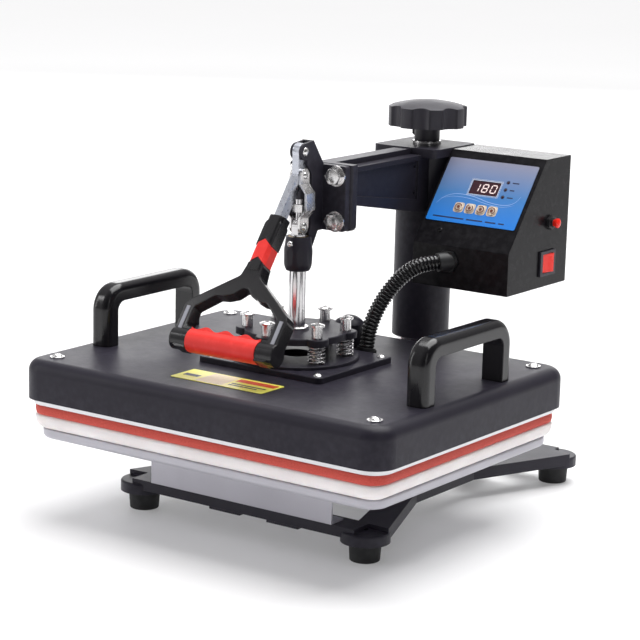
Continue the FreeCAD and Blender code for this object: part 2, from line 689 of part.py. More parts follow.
def handle_grip():
    # finger waves on the inner side of a round bar
    half = 37.3
    waves = 3.5
    length = 2 * half
    steps = 29
    crest = [
        (half - length * k / (steps - 1), -GRIP_INNER + 1.6 * math.cos(2 * math.pi * waves * (k / (steps - 1) - 0.5)))
        for k in range(steps)
    ]
    curve = Part.BSplineCurve()
    curve.interpolate([V(x, y, 0) for x, y in crest])
    outline = [
        curve.toShape(),
        Part.LineSegment(V(*crest[-1], 0), V(-half, -GRIP_OUTER - 1.0, 0)).toShape(),
        Part.LineSegment(V(-half, -GRIP_OUTER - 1.0, 0), V(half, -GRIP_OUTER - 1.0, 0)).toShape(),
        Part.LineSegment(V(half, -GRIP_OUTER - 1.0, 0), V(*crest[0], 0)).toShape(),
    ]
    slab = Part.Face(Part.Wire(outline)).extrude(V(0, 0, 24.0))
    slab.translate(V(0, 0, -12.0))
    middle = -(GRIP_INNER + GRIP_OUTER) / 2.0
    bar = Part.makeCylinder(10.6, length, V(-half, middle, 0), X_AXIS)
    ridge = block(-half, half, middle, -GRIP_INNER + 2.5, -7.0, 7.0)
    body = join([bar, ridge]).common(slab)
    return in_handle_frame(body.cut(rod(7.0 + FIT, 90.0, V(-45.0, middle, 0), X_AXIS)))


# ---------------------------------------------------------------- toggle links and shaft
LINK_INNER = 3.65
LINK_OUTER = 5.85
LINK_BULGE = 6.65            # sideways step of the joggled middle
LINK_RADIUS = 6.5


def link_plate(side):
    z = LINK_BOTTOM_Z
    inner = [(0, -8.0), (0, 7.0), (1, 15.0), (1, 30.0), (0, 38.0), (0, 53.0)]
    start = [(LINK_INNER + step * LINK_BULGE, z + rise) for step, rise in inner]
    end = [(LINK_OUTER + step * LINK_BULGE, z + rise) for step, rise in reversed(inner)]
    strip = prism([(side * x, -LINK_RADIUS, height) for x, height in start + end], V(0, 2 * LINK_RADIUS, 0))
    outline = capsule(0.0, z, 0.0, LINK_TOP_Z, LINK_RADIUS, -20.0, 20.0)
    plate = strip.common(outline)
    holes = [rod(2.56, 50.0, V(-25.0, 0, height), X_AXIS) for height in (z, LINK_TOP_Z)]
    plate = plate.cut(join(holes))
    plate.translate(V(0, SHAFT_Y, 0))
    return plate


def link_rivet(side):
    shank = rod(2.5, LINK_OUTER - LINK_INNER, V(min(side * LINK_INNER, side * LINK_OUTER), 0, LINK_TOP_Z), X_AXIS)
    head = dome(3.3, 1.7, V(side * (LINK_OUTER + 0.02), 0, LINK_TOP_Z), V(side, 0, 0))
    collar = rod(2.5, 0.1, V(min(side * (LINK_OUTER - 0.03), side * (LINK_OUTER + 0.07)), 0, LINK_TOP_Z), X_AXIS)
    rivet = join([shank, collar, head])
    rivet.translate(V(0, SHAFT_Y, 0))
    return rivet


def press_shaft():
    shaft = rod(SHAFT_RADIUS, 260.5 - 162.0, V(0, SHAFT_Y, 162.0))
    head = join([
        block(-LEVER_HALF_THICK, LEVER_HALF_THICK, -6.0, 6.0, 260.0, LINK_BOTTOM_Z),
        rod(6.0, 2 * LEVER_HALF_THICK, V(-LEVER_HALF_THICK, 0, LINK_BOTTOM_Z + 1.0), X_AXIS),
    ])
    head = head.cut(rod(2.5 + FIT, 20.0, V(-10.0, 0, LINK_BOTTOM_Z), X_AXIS))
    head.translate(V(0, SHAFT_Y, 0))
    stud = rod(3.4, 292.0 - 274.0, V(0, SHAFT_Y, 274.0))
    return join([shaft, head, stud])


def shaft_rivet():
    reach = LINK_OUTER + 0.1
    shank = rod(2.5, 2 * reach, V(-reach, SHAFT_Y, LINK_BOTTOM_Z), X_AXIS)
    heads = [
        dome(3.6, 1.8, V(side * reach, SHAFT_Y, LINK_BOTTOM_Z), V(side, 0, 0)) for side in (-1, 1)
    ]
    return join([shank] + heads)


def stud_nut():
    nut = hexagon(11.0, 7.0, V(0, SHAFT_Y, LINK_BOTTOM_Z + 12.6), Z_AXIS, 30.0)
    return nut.cut(rod(3.4 + FIT, 20.0, V(0, SHAFT_Y, 270.0)))


# ---------------------------------------------------------------- floating flange and springs
BOLTS = [
    (BOLT_CIRCLE * math.cos(math.radians(-90 + 60 * k)), SHAFT_Y + BOLT_CIRCLE * math.sin(math.radians(-90 + 60 * k)))
    for k in range(BOLT_COUNT)
]
SPRING_SLEEVE = 4.8
CENTRE_HOLE = 15.0           # clears the nut under the flange


def float_disc():
    waist = rod(47.0, DISC_TOP - DISC_BOTTOM, V(0, SHAFT_Y, DISC_BOTTOM))
    lobes = [rod(10.5, DISC_TOP - DISC_BOTTOM, V(x, y, DISC_BOTTOM)) for x, y in BOLTS]
    body = join([waist] + lobes)
    body = round_rim(body, DISC_TOP, 1.2)
    holes = [rod(SPRING_SLEEVE + 0.2, 20.0, V(x, y, DISC_BOTTOM - 5.0)) for x, y in BOLTS]
    return body.cut(join(holes + [rod(SHAFT_RADIUS + FIT, 20.0, V(0, SHAFT_Y, DISC_BOTTOM - 5.0))]))


def shaft_collar():
    base = DISC_TOP + FIT
    collar = ring(11.0, SHAFT_RADIUS + FIT, 2.4, V(0, SHAFT_Y, base))
    return collar.makeChamfer(0.6, [e for e in edges_at(collar, base + 2.4) if e.Curve.Radius > 10.0])


def shaft_nut():
    nut = hexagon(22.0, 6.0, V(0, SHAFT_Y, DISC_BOTTOM - 6.0 - FIT))
    return nut.cut(rod(SHAFT_RADIUS + FIT, 20.0, V(0, SHAFT_Y, 160.0)))


def spring_bolt(x, y):
    sleeve = rod(SPRING_SLEEVE, BOLT_HEAD_BOTTOM - RING_TOP - FIT, V(x, y, RING_TOP + FIT))
    shank = rod(3.0, RING_TOP - 141.0 + 1.0, V(x, y, 141.0))
    head = join([rod(6.8, 1.4, V(x, y, BOLT_HEAD_BOTTOM)), dome(6.8, 1.6, V(x, y, BOLT_HEAD_BOTTOM + 1.4))])
    socket = hexagon(3.4, 3.0, V(x, y, BOLT_HEAD_BOTTOM + 1.2))
    return join([sleeve, shank, head.cut(socket)])


def pressure_spring(x, y):
    # closed rings at a constant pitch stand for the coils, so they stay separate solids
    wire = 0.9
    turns = 5
    low = RING_TOP + FIT + wire
    high = DISC_BOTTOM - FIT - wire
    rise = (high - low) / turns
    helix = Part.makeHelix(rise, high - low, 6.9)
    section = Part.Wire([Part.Circle(V(6.9, 0, 0), Y_AXIS, wire).toShape()])
    coil = Part.Wire(helix.Edges).makePipeShell([section], True, True)
    coil.translate(V(x, y, low))
    return coil


def square_plate():
    plate = rounded_slab(67.0, 57.0, COVER_TOP + FIT, MOUNT_TOP, 5.0, SHAFT_Y)
    plate = round_rim(plate, MOUNT_TOP, 1.0)
    holes = [rod(3.0 + FIT, 20.0, V(x, y, 140.0)) for x, y in BOLTS]
    holes.append(rod(CENTRE_HOLE, 20.0, V(0, SHAFT_Y, 140.0)))
    holes += [rod(2.5 + FIT, 20.0, V(x, y, 140.0)) for x, y in PLATE_CORNERS]
    return plate.cut(join(holes))


PLATE_CORNERS = [(sx * 59.0, SHAFT_Y + sy * 49.0) for sx in (-1, 1) for sy in (-1, 1)]


def corner_screw(x, y):
    return join([rod(2.5, 10.2, V(x, y, MOUNT_TOP - 10.0)), pan_head(4.2, 2.2, V(x, y, MOUNT_TOP + FIT))])


def ring_plate():
    plate = rod(57.0, RING_TOP - MOUNT_TOP - FIT, V(0, SHAFT_Y, MOUNT_TOP + FIT))
    plate = round_rim(plate, RING_TOP, 0.8)
    holes = [rod(3.0 + FIT, 20.0, V(x, y, 140.0)) for x, y in BOLTS]
    return plate.cut(join(holes + [rod(CENTRE_HOLE, 20.0, V(0, SHAFT_Y, 140.0))]))


# ---------------------------------------------------------------- heated platen
COVER_SCREWS = [(sx * 171.5, SHAFT_Y + sy * 126.8) for sx in (-1, 1) for sy in (-1, 1)]
HANDLE_POSTS_Y = (SHAFT_Y - 62.0, SHAFT_Y + 62.0)
SIDE_HANDLE_X = 172.0
SIDE_HANDLE_HALF = 10.5
PLATEN_THICK = 6.0


def heater_cover():
    outer = rounded_slab(COVER_HALF_X, COVER_HALF_Y, COVER_BOTTOM, COVER_TOP, COVER_CORNER, SHAFT_Y)
    outer = round_rim(outer, COVER_TOP, 11.0)
    inner = rounded_slab(COVER_HALF_X - COVER_WALL, COVER_HALF_Y - COVER_WALL, COVER_BOTTOM - 1.0,
                         COVER_TOP - COVER_WALL, COVER_CORNER - COVER_WALL, SHAFT_Y)
    inner = round_rim(inner, COVER_TOP - COVER_WALL, 9.0)
    shell = outer.cut(inner)
    foot = PLATEN_BOTTOM + PLATEN_THICK + FIT
    posts = [rod(6.0, COVER_TOP - 1.0 - foot, V(x, y, foot)) for x, y in COVER_SCREWS]
    shell = join([shell] + posts)
    holes = [rod(2.5 + FIT, 60.0, V(x, y, COVER_BOTTOM - 5.0)) for x, y in COVER_SCREWS]
    holes += [
        rod(2.5 + FIT, 10.0, V(sx * SIDE_HANDLE_X, y, COVER_TOP - 6.0)) for sx in (-1, 1) for y in HANDLE_POSTS_Y
    ]
    holes += [rod(3.0 + FIT, 10.0, V(x, y, COVER_TOP - 6.0)) for x, y in BOLTS]
    holes += [rod(2.5 + FIT, 10.0, V(x, y, COVER_TOP - 6.0)) for x, y in PLATE_CORNERS]
    holes.append(rod(6.0, 10.0, V(*CONDUIT_ROUTE[0][:2], COVER_TOP - 6.0)))
    return shell.cut(join(holes))


def cover_screw(x, y):
    washer = ring(6.6, 2.5, 0.9, V(x, y, COVER_TOP + FIT))
    head = pan_head(5.0, 2.8, V(x, y, COVER_TOP + 0.9))
    shank = rod(2.5, 36.0, V(x, y, COVER_TOP + 1.0 - 36.0))
    return join([washer, head, shank])


def heating_plate():
    top = PLATEN_BOTTOM + PLATEN_THICK
    plate = rounded_slab(COVER_HALF_X - 4.0, COVER_HALF_Y - 4.0, PLATEN_BOTTOM, top, COVER_CORNER - 3.0, SHAFT_Y)
    plate = round_rim(plate, PLATEN_BOTTOM, 1.0)
    return plate.cut(join([rod(2.5 + FIT, 20.0, V(x, y, PLATEN_BOTTOM + 3.5)) for x, y in COVER_SCREWS]))


def heating_element():
    # a flat loop of square section cast onto the plate
    z = PLATEN_BOTTOM + PLATEN_THICK + FIT
    outer = rounded_slab(150.0, 108.0, z, z + 6.0, 30.0, SHAFT_Y)
    inner = rounded_slab(142.0, 100.0, z - 1.0, z + 7.0, 22.0, SHAFT_Y)
    return outer.cut(inner)


def side_handle(side):
    # a bow of rounded section, seen from the side it is a rectangle with round shoulders
    x0 = side * SIDE_HANDLE_X - SIDE_HANDLE_HALF
    x1 = x0 + 2 * SIDE_HANDLE_HALF
    outer_half, inner_half = 70.0, 54.5
    low, high = COVER_TOP + FIT, 201.0
    outer = block(x0, x1, SHAFT_Y - outer_half, SHAFT_Y + outer_half, low, high)
    shoulders = [e for e in outer.Edges if all(abs(v.Z - high) < 1e-4 for v in e.Vertexes)
                 and abs(e.Vertexes[0].X - e.Vertexes[1].X) > 1.0]
    outer = outer.makeFillet(24.0, shoulders)
    inner = block(x0 - 1.0, x1 + 1.0, SHAFT_Y - inner_half, SHAFT_Y + inner_half, low - 1.0, high - 15.5)
    shoulders = [e for e in inner.Edges if all(abs(v.Z - (high - 15.5)) < 1e-4 for v in e.Vertexes)
                 and abs(e.Vertexes[0].X - e.Vertexes[1].X) > 1.0]
    inner = inner.makeFillet(9.0, shoulders)
    rim = [e for e in outer.Edges if is_rim(e, x0, x1, low)]
    outer = outer.makeFillet(7.0, rim)
    bow = outer.cut(inner)
    return bow.cut(join([rod(2.5 + FIT, 24.0, V(side * SIDE_HANDLE_X, y, low - 1.0)) for y in HANDLE_POSTS_Y]))


def is_rim(edge, x0, x1, low):
    flat = all(abs(v.Z - low) < 1e-4 for v in edge.Vertexes)
    on_side = all(abs(v.X - x0) < 1e-4 for v in edge.Vertexes) or all(abs(v.X - x1) < 1e-4 for v in edge.Vertexes)
    return on_side and not flat


def handle_screw(x, y):
    under = COVER_TOP - COVER_WALL - FIT
    return join([rod(2.5, 22.0, V(x, y, under - 0.1)), pan_head(5.0, 2.6, V(x, y, under), V(0, 0, -1))])


def notice_plate():
    plate = block(-50.0, 49.0, SHAFT_Y - 117.0, SHAFT_Y - 83.0, COVER_TOP + FIT, COVER_TOP + 0.5)
    upright = [e for e in plate.Edges if abs(e.Vertexes[0].Z - e.Vertexes[1].Z) > 0.2]
    return plate.makeFillet(2.0, upright)


# ---------------------------------------------------------------- conduit
GLAND_RADIUS = 8.6
GLAND_TAIL = 6.5


def conduit_tube():
    points = [V(*p) for p in CONDUIT_ROUTE]
    corners = []
    for before, here, after in zip(points, points[1:], points[2:]):
        into = before - here
        out = after - here
        shorter = min(into.Length, out.Length)
        into.normalize()
        out.normalize()
        half_turn = (math.pi - into.getAngle(out)) / 2.0
        radius = 0.45 * shorter / math.tan(half_turn)
        bisector = into + out
        bisector.normalize()
        reach = 0.45 * shorter
        middle = here + bisector * (radius / math.cos(half_turn) - radius)
        corners.append((here + into * reach, middle, here + out * reach))
        print("conduit radius %.0f at %.0f degrees" % (radius, math.degrees(2 * half_turn)))
    edges = []
    last = points[0]
    for start, middle, end in corners:
        edges.append(Part.LineSegment(last, start).toShape())
        edges.append(Part.Arc(start, middle, end).toShape())
        last = end
    edges.append(Part.LineSegment(last, points[-1]).toShape())
    path = Part.Wire(edges)
    section = Part.Wire([Part.Circle(points[0], points[1] - points[0], CONDUIT_DIAMETER / 2.0).toShape()])
    tube = path.makePipeShell([section], True, False, 2)
    expected = math.pi * CONDUIT_DIAMETER ** 2 / 4.0 * path.Length
    print("conduit length %.1f mm, volume over section times length %.4f" % (path.Length, tube.Volume / expected))
    return tube


def route_end(end, before):
    # the end point of the route and the direction in which the route leaves there
    outward = V(*end) - V(*before)
    outward.normalize()
    return V(*end), outward


def lower_gland():
    # a hexagon nut on the cover with a collar that ends where the conduit starts
    x, y, z = CONDUIT_ROUTE[0]
    base = COVER_TOP + FIT
    foot = hexagon(16.5, 4.0, V(x, y, base), Z_AXIS, 30.0)
    collar = rod(GLAND_RADIUS, z - base + 3.0, V(x, y, base))
    tail = rod(6.0 - FIT, 9.0, V(x, y, base - 8.0))
    end, outward = route_end(CONDUIT_ROUTE[0], CONDUIT_ROUTE[1])
    beyond = rod(GLAND_RADIUS + 4.0, 12.0, end, -outward)
    return join([foot, collar, tail]).cut(beyond)


def upper_gland():
    # an oblique collar takes the conduit to a nut on the front of the box
    end, outward = route_end(CONDUIT_ROUTE[-1], CONDUIT_ROUTE[-2])
    face = BOX_FRONT - FIT
    centre = end + outward * ((face - end.y) / outward.y)
    nut = hexagon(19.0, 2.6, V(centre.x, face - 2.6, centre.z), Y_AXIS)
    tail = rod(GLAND_TAIL, 10.0, V(centre.x, face - 0.5, centre.z), Y_AXIS)
    collar = rod(GLAND_RADIUS, 22.0, end, outward)
    collar = collar.common(block(0.0, 150.0, 0.0, face - 0.5, BOX_BOTTOM, BOX_TOP))
    return join([nut, tail, collar])


def sensor_housing():
    # a domed cap over the temperature sensor, behind the flange
    x, y, radius, base = 4.0, 12.5, 14.0, COVER_TOP + FIT
    body = rod(radius, 24.0, V(x, y, base))
    rim = rod(radius + 2.5, 3.0, V(x, y, base))
    return join([rim, body, dome(radius, 7.5, V(x, y, base + 24.0))])


# ---------------------------------------------------------------- control box
PANEL_SLOPE = math.hypot(BOX_TOP - BOX_FRONT_TOP, BOX_TOP_FRONT - BOX_FRONT)
PANEL_LEFT = 40.0
PANEL_RIGHT = 134.8
PANEL_LOW = 24.3
PANEL_HIGH = 91.5
KEY_CENTRES = [(69.8 + 11.8 * k, 40.3) for k in range(4)]
LAMP_CENTRES = [(109.9, 56.2 + 7.75 * k) for k in range(3)]
WINDOW = (73.3, 103.4, 55.8, 70.3)
ROCKER_Y = 134.0
ROCKER_Z = 225.0
ROCKER_HALF_Z = 8.6          # half height of the rocker cap; the frame's walls stand round it
RESET_Y = 137.0
RESET_Z = 262.5


def box_profile(inset):
    # every face moves inwards by the same distance
    run = (BOX_TOP_FRONT - BOX_FRONT) / PANEL_SLOPE
    rise = (BOX_TOP - BOX_FRONT_TOP) / PANEL_SLOPE
    return [
        (BOX_FRONT + inset, BOX_BOTTOM + inset),
        (BOX_FRONT + inset, BOX_FRONT_TOP - inset * (1 - rise) / run),
        (BOX_TOP_FRONT + inset * (1 - run) / rise, BOX_TOP - inset),
        (BOX_BACK - inset, BOX_TOP - inset),
        (BOX_BACK - inset, BOX_BOTTOM + inset),
    ]


def box_solid(inset):
    points = [(BOX_LEFT + inset, y, z) for y, z in box_profile(inset)]
    return prism(points, V(BOX_RIGHT - BOX_LEFT - 2 * inset, 0, 0))


def box_shell():
    outer = box_solid(0.0)
    shell = outer.cut(box_solid(BOX_WALL))
    # the back is a separate lid
    shell = shell.cut(block(BOX_LEFT - 1.0, BOX_RIGHT + 1.0, BOX_BACK - BOX_WALL, BOX_BACK + 1.0, 190.0, 330.0))
    cuts = [on_panel(block(*panel_pocket(), -3.0, 0.5))]
    cuts.append(block(BOX_RIGHT - 4.0, BOX_RIGHT + 1.0, ROCKER_Y - 10.45, ROCKER_Y + 10.45,
                      ROCKER_Z - ROCKER_HALF_Z - 0.95, ROCKER_Z + ROCKER_HALF_Z + 0.95))
    cuts.append(rod(4.0 + FIT, 6.0, V(BOX_RIGHT - 4.0, RESET_Y, RESET_Z), X_AXIS))
    end, outward = route_end(CONDUIT_ROUTE[-1], CONDUIT_ROUTE[-2])
    entry = end + outward * ((BOX_FRONT - FIT - end.y) / outward.y)
    cuts.append(rod(GLAND_TAIL + FIT, 6.0, V(entry.x, BOX_FRONT - 2.0, entry.z), Y_AXIS))
    cuts += [rod(2.5 + FIT, 8.0, V(BOX_LEFT - 2.0, y, z), X_AXIS) for y, z in BOX_BOLTS]
    cuts.append(on_panel(rod(1.5 + FIT, 10.0, V(59.8, 15.0, -6.0))))
    return shell.cut(join(cuts))


def panel_pocket():
    return KEY_CENTRES[0][0] - 5.5, LAMP_CENTRES[0][0] + 4.0, KEY_CENTRES[0][1] - 5.5, LAMP_CENTRES[2][1] + 4.0


def box_lid():
    low, high = BOX_BOTTOM + 0.2, BOX_TOP - 0.2
    lid = block(BOX_LEFT + 0.2, BOX_RIGHT - 0.2, BOX_BACK - BOX_WALL + FIT, BOX_BACK, low, high)
    cuts = [rod(1.6, 8.0, V(x, BOX_BACK - 5.0, z), Y_AXIS) for x, z in LID_SCREWS]
    cuts.append(block(*inlet_window(), BOX_BACK - 5.0, BOX_BACK + 1.0, INLET_Z - 12.0, INLET_Z + 12.0))
    vents = [block(58.0, 118.0, BOX_BACK - 5.0, BOX_BACK + 1.0, 270.0 + 7.0 * k, 273.0 + 7.0 * k) for k in range(5)]
    return lid.cut(join(cuts + vents))


LID_SCREWS = [(x, z) for x in (BOX_LEFT + 7.0, BOX_RIGHT - 7.0) for z in (BOX_BOTTOM + 7.0, BOX_TOP - 7.0)]
INLET_X = 100.0
INLET_Z = 225.0


def inlet_window():
    return INLET_X - 14.0, INLET_X + 14.0


def lid_screw(x, z):
    return join([rod(1.5, 6.0, V(x, BOX_BACK - 5.9, z), Y_AXIS), pan_head(3.2, 1.8, V(x, BOX_BACK + FIT, z), Y_AXIS)])


def inlet_socket():
    frame = block(INLET_X - 17.0, INLET_X + 17.0, BOX_BACK + FIT, BOX_BACK + 2.2, INLET_Z - 15.0, INLET_Z + 15.0)
    body = block(INLET_X - 13.9, INLET_X + 13.9, BOX_BACK - 18.0, BOX_BACK + 1.0, INLET_Z - 11.9, INLET_Z + 11.9)
    hollow = block(INLET_X - 11.5, INLET_X + 11.5, BOX_BACK - 14.0, BOX_BACK + 4.0, INLET_Z - 9.0, INLET_Z + 9.0)
    pins = [block(x - 1.0, x + 1.0, BOX_BACK - 15.0, BOX_BACK - 2.0, z - 2.0, z + 2.0)
            for x, z in ((INLET_X - 7, INLET_Z - 2), (INLET_X, INLET_Z + 3), (INLET_X + 7, INLET_Z - 2))]
    return join([join([frame, body]).cut(hollow)] + pins)


def box_bracket():
    # a plate between the arm's boss and the side of the box
    x0 = BOSS_RADIUS + FIT
    plate = block(x0, BOX_LEFT - FIT, COLUMN_Y - 24.0, COLUMN_Y + 24.0, 264.0, 300.0)
    return plate.cut(join([rod(2.5 + FIT, 12.0, V(x0 - 2.0, y, z), X_AXIS) for y, z in BOX_BOLTS]))


def box_bolt(y, z):
    inner = BOX_LEFT + BOX_WALL + FIT
    return join([rod(2.5, 12.0, V(inner - 11.9, y, z), X_AXIS), hexagon(8.0, 3.5, V(inner, y, z), X_AXIS)])


def membrane_panel():
    sheet = block(PANEL_LEFT, PANEL_RIGHT, PANEL_LOW, PANEL_HIGH, FIT, 0.6)
    upright = [e for e in sheet.Edges if abs(e.Vertexes[0].Z - e.Vertexes[1].Z) > 0.3]
    sheet = sheet.makeFillet(1.5, upright)
    cuts = [block(*WINDOW, -1.0, 2.0)]
    cuts += [rod(4.55, 3.0, V(x, y, -1.0)) for x, y in KEY_CENTRES]
    cuts += [rod(1.25, 3.0, V(x, y, -1.0)) for x, y in LAMP_CENTRES]
    return on_panel(sheet.cut(join(cuts)))


def display_module():
    # a board on four pillars with the display window and the three lamps
    x0, x1, y0, y1 = panel_pocket()
    board = block(x0 - 4.0, x1 + 4.0, y0 - 4.0, y1 + 4.0, -12.6, -11.0)
    pillars = [rod(2.0, 9.4, V(x, y, -11.5)) for x in (x0 - 2.0, x1 + 2.0) for y in (y0 - 2.0, y1 + 2.0)]
    wx0, wx1, wy0, wy1 = WINDOW
    window = block(wx0 + 0.1, wx1 - 0.1, wy0 + 0.1, wy1 - 0.1, -11.5, 0.3)
    lamps = [join([rod(1.2, 12.0, V(x, y, -11.5)), dome(1.2, 0.4, V(x, y, 0.5))]) for x, y in LAMP_CENTRES]
    return on_panel(join([board, window] + pillars + lamps))


def key_cap(x, y):
    cap = join([rod(4.45, 3.0, V(x, y, -1.6)), rod(5.0, 1.0, V(x, y, -2.6))])
    return on_panel(round_top(cap))


def round_top(cap):
    top = max(v.Z for v in cap.Vertexes)
    return cap.makeFillet(0.5, edges_at(cap, top))


def rocker_frame():
    def shell(x0, x1, half_y, wall):
        half_z = ROCKER_HALF_Z + wall
        return block(x0, x1, ROCKER_Y - half_y, ROCKER_Y + half_y, ROCKER_Z - half_z, ROCKER_Z + half_z)

    body = join([shell(BOX_RIGHT + FIT, BOX_RIGHT + 2.0, 13.5, 3.0), shell(BOX_RIGHT - 12.0, BOX_RIGHT + 1.0, 10.4, 0.9)])
    pin_half = ROCKER_HALF_Z + 0.68
    pin_hole = rod(1.0 + RUNNING, 2 * pin_half, V(BOX_RIGHT - 2.0, ROCKER_Y, ROCKER_Z - pin_half))
    return body.cut(shell(BOX_RIGHT - 10.0, BOX_RIGHT + 3.0, 9.4, 0.2)).cut(pin_hole)


def rocker_cap():
    # the rest state has one end pressed in
    x = BOX_RIGHT - 2.0
    profile = [
        (x - 3.0, ROCKER_Y - 3.0), (x + 1.6, ROCKER_Y - 8.0), (x + 3.0, ROCKER_Y - 8.0), (x + 3.9, ROCKER_Y),
        (x + 5.4, ROCKER_Y + 8.0), (x + 3.2, ROCKER_Y + 8.0), (x - 3.0, ROCKER_Y + 3.0),
    ]
    cap = prism([(px, py, ROCKER_Z - ROCKER_HALF_Z) for px, py in profile], V(0, 0, 2 * ROCKER_HALF_Z))
    pins = [rod(1.0, 0.65, V(x, ROCKER_Y, z)) for z in (ROCKER_Z - ROCKER_HALF_Z - 0.6, ROCKER_Z + ROCKER_HALF_Z - 0.05)]
    return join([cap] + pins)


def reset_collar():
    nut = hexagon(12.0, 3.0, V(BOX_RIGHT + FIT, RESET_Y, RESET_Z), X_AXIS)
    body = rod(4.0, 12.0, V(BOX_RIGHT - 8.0, RESET_Y, RESET_Z), X_AXIS)
    tip = rod(3.9, 2.0, V(BOX_RIGHT + 2.9, RESET_Y, RESET_Z), X_AXIS)
    return join([nut, body, tip]).cut(rod(3.2 + RUNNING, 20.0, V(BOX_RIGHT - 5.0, RESET_Y, RESET_Z), X_AXIS))


def reset_button():
    stem = rod(3.2, 9.0, V(BOX_RIGHT - 1.0, RESET_Y, RESET_Z), X_AXIS)
    skirt = rod(4.3, 2.0, V(BOX_RIGHT + 7.2, RESET_Y, RESET_Z), X_AXIS)
    cap = dome(4.3, 1.4, V(BOX_RIGHT + 9.2, RESET_Y, RESET_Z), X_AXIS)
    return join([stem, skirt, cap])


def panel_screw():
    return on_panel(join([rod(1.5, 5.0, V(59.8, 15.0, -4.9)), pan_head(2.6, 1.2, V(59.8, 15.0, FIT))]))


# ---------------------------------------------------------------- write every node
def write_base():
    save("base_casting", [base_casting()])
    save("rubber_feet", [rubber_foot(x, y) for x, y in FEET])
    table_screws = [screw(x, y) for screw in (riser_screw, plate_bolt) for x, y in RISER_SCREWS]
    save("base_screws", [foot_screw(x, y) for x, y in FEET] + table_screws)
    save("riser_channel", [riser_channel()])
    save("lower_plate", [lower_plate()])
    save("white_pad", [table_pad(PLATE_TOP, WHITE_PAD_TOP, 3.0)])
    save("red_pad", [table_pad(WHITE_PAD_TOP, RED_PAD_TOP, 1.2)])
    save("inner_post", [inner_post()])
    save("post_nut", [post_nut()])


def write_knob():
    save("thrust_collar", [thrust_collar()])
    save("pressure_screw", [pressure_screw()])
    save("knob_stem", [knob_stem()])
    save("knob_cap", [knob_cap()])


def write_arm():
    save("arm_casting", [arm_casting()])
    save("sleeve_tube", [sleeve_tube()])
    save("toggle_bracket", [toggle_bracket()])
    save("bracket_bolts", [bracket_bolt(x, z) for x, z in BRACKET_BOLTS] + [barrel_screw()])
    save("guide_bush", [guide_bush()])
    save("lever_pin", [lever_pin()])


def write_lever():
    save("lever_bar", [lever_bar()])
    save("handle_frame", [handle_frame()])
    save("handle_band", [handle_band()])
    save("handle_inlays", [handle_inlay(side) for side in (-1, 1)])
    save("handle_grip", [handle_grip()])
    save("link_plates", [link_plate(side) for side in (-1, 1)])
    save("link_rivets", [link_rivet(side) for side in (-1, 1)])


def write_shaft():
    save("press_shaft", [press_shaft()])
    save("shaft_rivet", [shaft_rivet()])
    save("float_disc", [float_disc()])
    save("shaft_nuts", [stud_nut(), shaft_collar(), shaft_nut()])


def write_heater():
    save("square_plate", [square_plate()])
    save("ring_plate", [ring_plate()])
    save("spring_bolts", [spring_bolt(x, y) for x, y in BOLTS])
    save("pressure_springs", [pressure_spring(x, y) for x, y in BOLTS])
    save("heater_cover", [heater_cover()])
    handle_screws = [handle_screw(side * SIDE_HANDLE_X, y) for side in (-1, 1) for y in HANDLE_POSTS_Y]
    plate_screws = [corner_screw(x, y) for x, y in PLATE_CORNERS]
    save("platen_screws", [cover_screw(x, y) for x, y in COVER_SCREWS] + handle_screws + plate_screws)
    save("heating_plate", [heating_plate()])
    save("heating_element", [heating_element()])
    save("side_handle_left", [side_handle(-1)])
    save("side_handle_right", [side_handle(1)])
    save("notice_plate", [notice_plate()])
    save("lower_gland", [lower_gland()])
    save("sensor_housing", [sensor_housing()])
    save("conduit", [conduit_tube()])


def write_box():
    save("upper_gland", [upper_gland()])
    save("box_shell", [box_shell()])
    save("box_lid", [box_lid()])
    save("inlet_socket", [inlet_socket()])
    save("box_bracket", [box_bracket()])
    box_screws = [lid_screw(x, z) for x, z in LID_SCREWS] + [box_bolt(y, z) for y, z in BOX_BOLTS]
    save("box_screws", box_screws + [panel_screw()])
    save("membrane_panel", [membrane_panel()])
    save("display_module", [display_module()])
    for number, (x, y) in enumerate(KEY_CENTRES, start=1):
        save("key_%d" % number, [key_cap(x, y)])
    save("rocker_frame", [rocker_frame()])
    save("rocker_cap", [rocker_cap()])
    save("reset_collar", [reset_collar()])
    save("reset_button", [reset_button()])


os.makedirs("parts", exist_ok=True)
write_base()
write_knob()
write_arm()
write_lever()
write_shaft()
write_heater()
write_box()
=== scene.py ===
import json
import math

import bpy
from mathutils import Matrix, Vector, noise


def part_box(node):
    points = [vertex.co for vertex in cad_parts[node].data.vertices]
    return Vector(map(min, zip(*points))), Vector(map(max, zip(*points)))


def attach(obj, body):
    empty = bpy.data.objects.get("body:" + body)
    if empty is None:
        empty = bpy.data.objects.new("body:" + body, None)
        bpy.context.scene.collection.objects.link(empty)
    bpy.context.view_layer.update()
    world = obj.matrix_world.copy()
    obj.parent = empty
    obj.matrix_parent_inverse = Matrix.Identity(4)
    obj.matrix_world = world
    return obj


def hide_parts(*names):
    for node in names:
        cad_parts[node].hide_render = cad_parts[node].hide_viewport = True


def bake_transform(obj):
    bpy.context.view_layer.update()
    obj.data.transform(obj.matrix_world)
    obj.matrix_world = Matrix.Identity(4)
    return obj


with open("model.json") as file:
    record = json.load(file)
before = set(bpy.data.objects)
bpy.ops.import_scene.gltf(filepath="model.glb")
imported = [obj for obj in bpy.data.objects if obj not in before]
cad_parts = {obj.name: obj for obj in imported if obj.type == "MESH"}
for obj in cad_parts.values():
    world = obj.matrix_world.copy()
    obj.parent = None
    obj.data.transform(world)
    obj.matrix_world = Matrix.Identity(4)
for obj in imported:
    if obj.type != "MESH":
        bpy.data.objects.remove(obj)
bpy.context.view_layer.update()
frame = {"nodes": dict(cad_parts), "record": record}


def add_object(name, data):
    made = bpy.data.objects.new(name, data)
    bpy.context.scene.collection.objects.link(made)
    return made


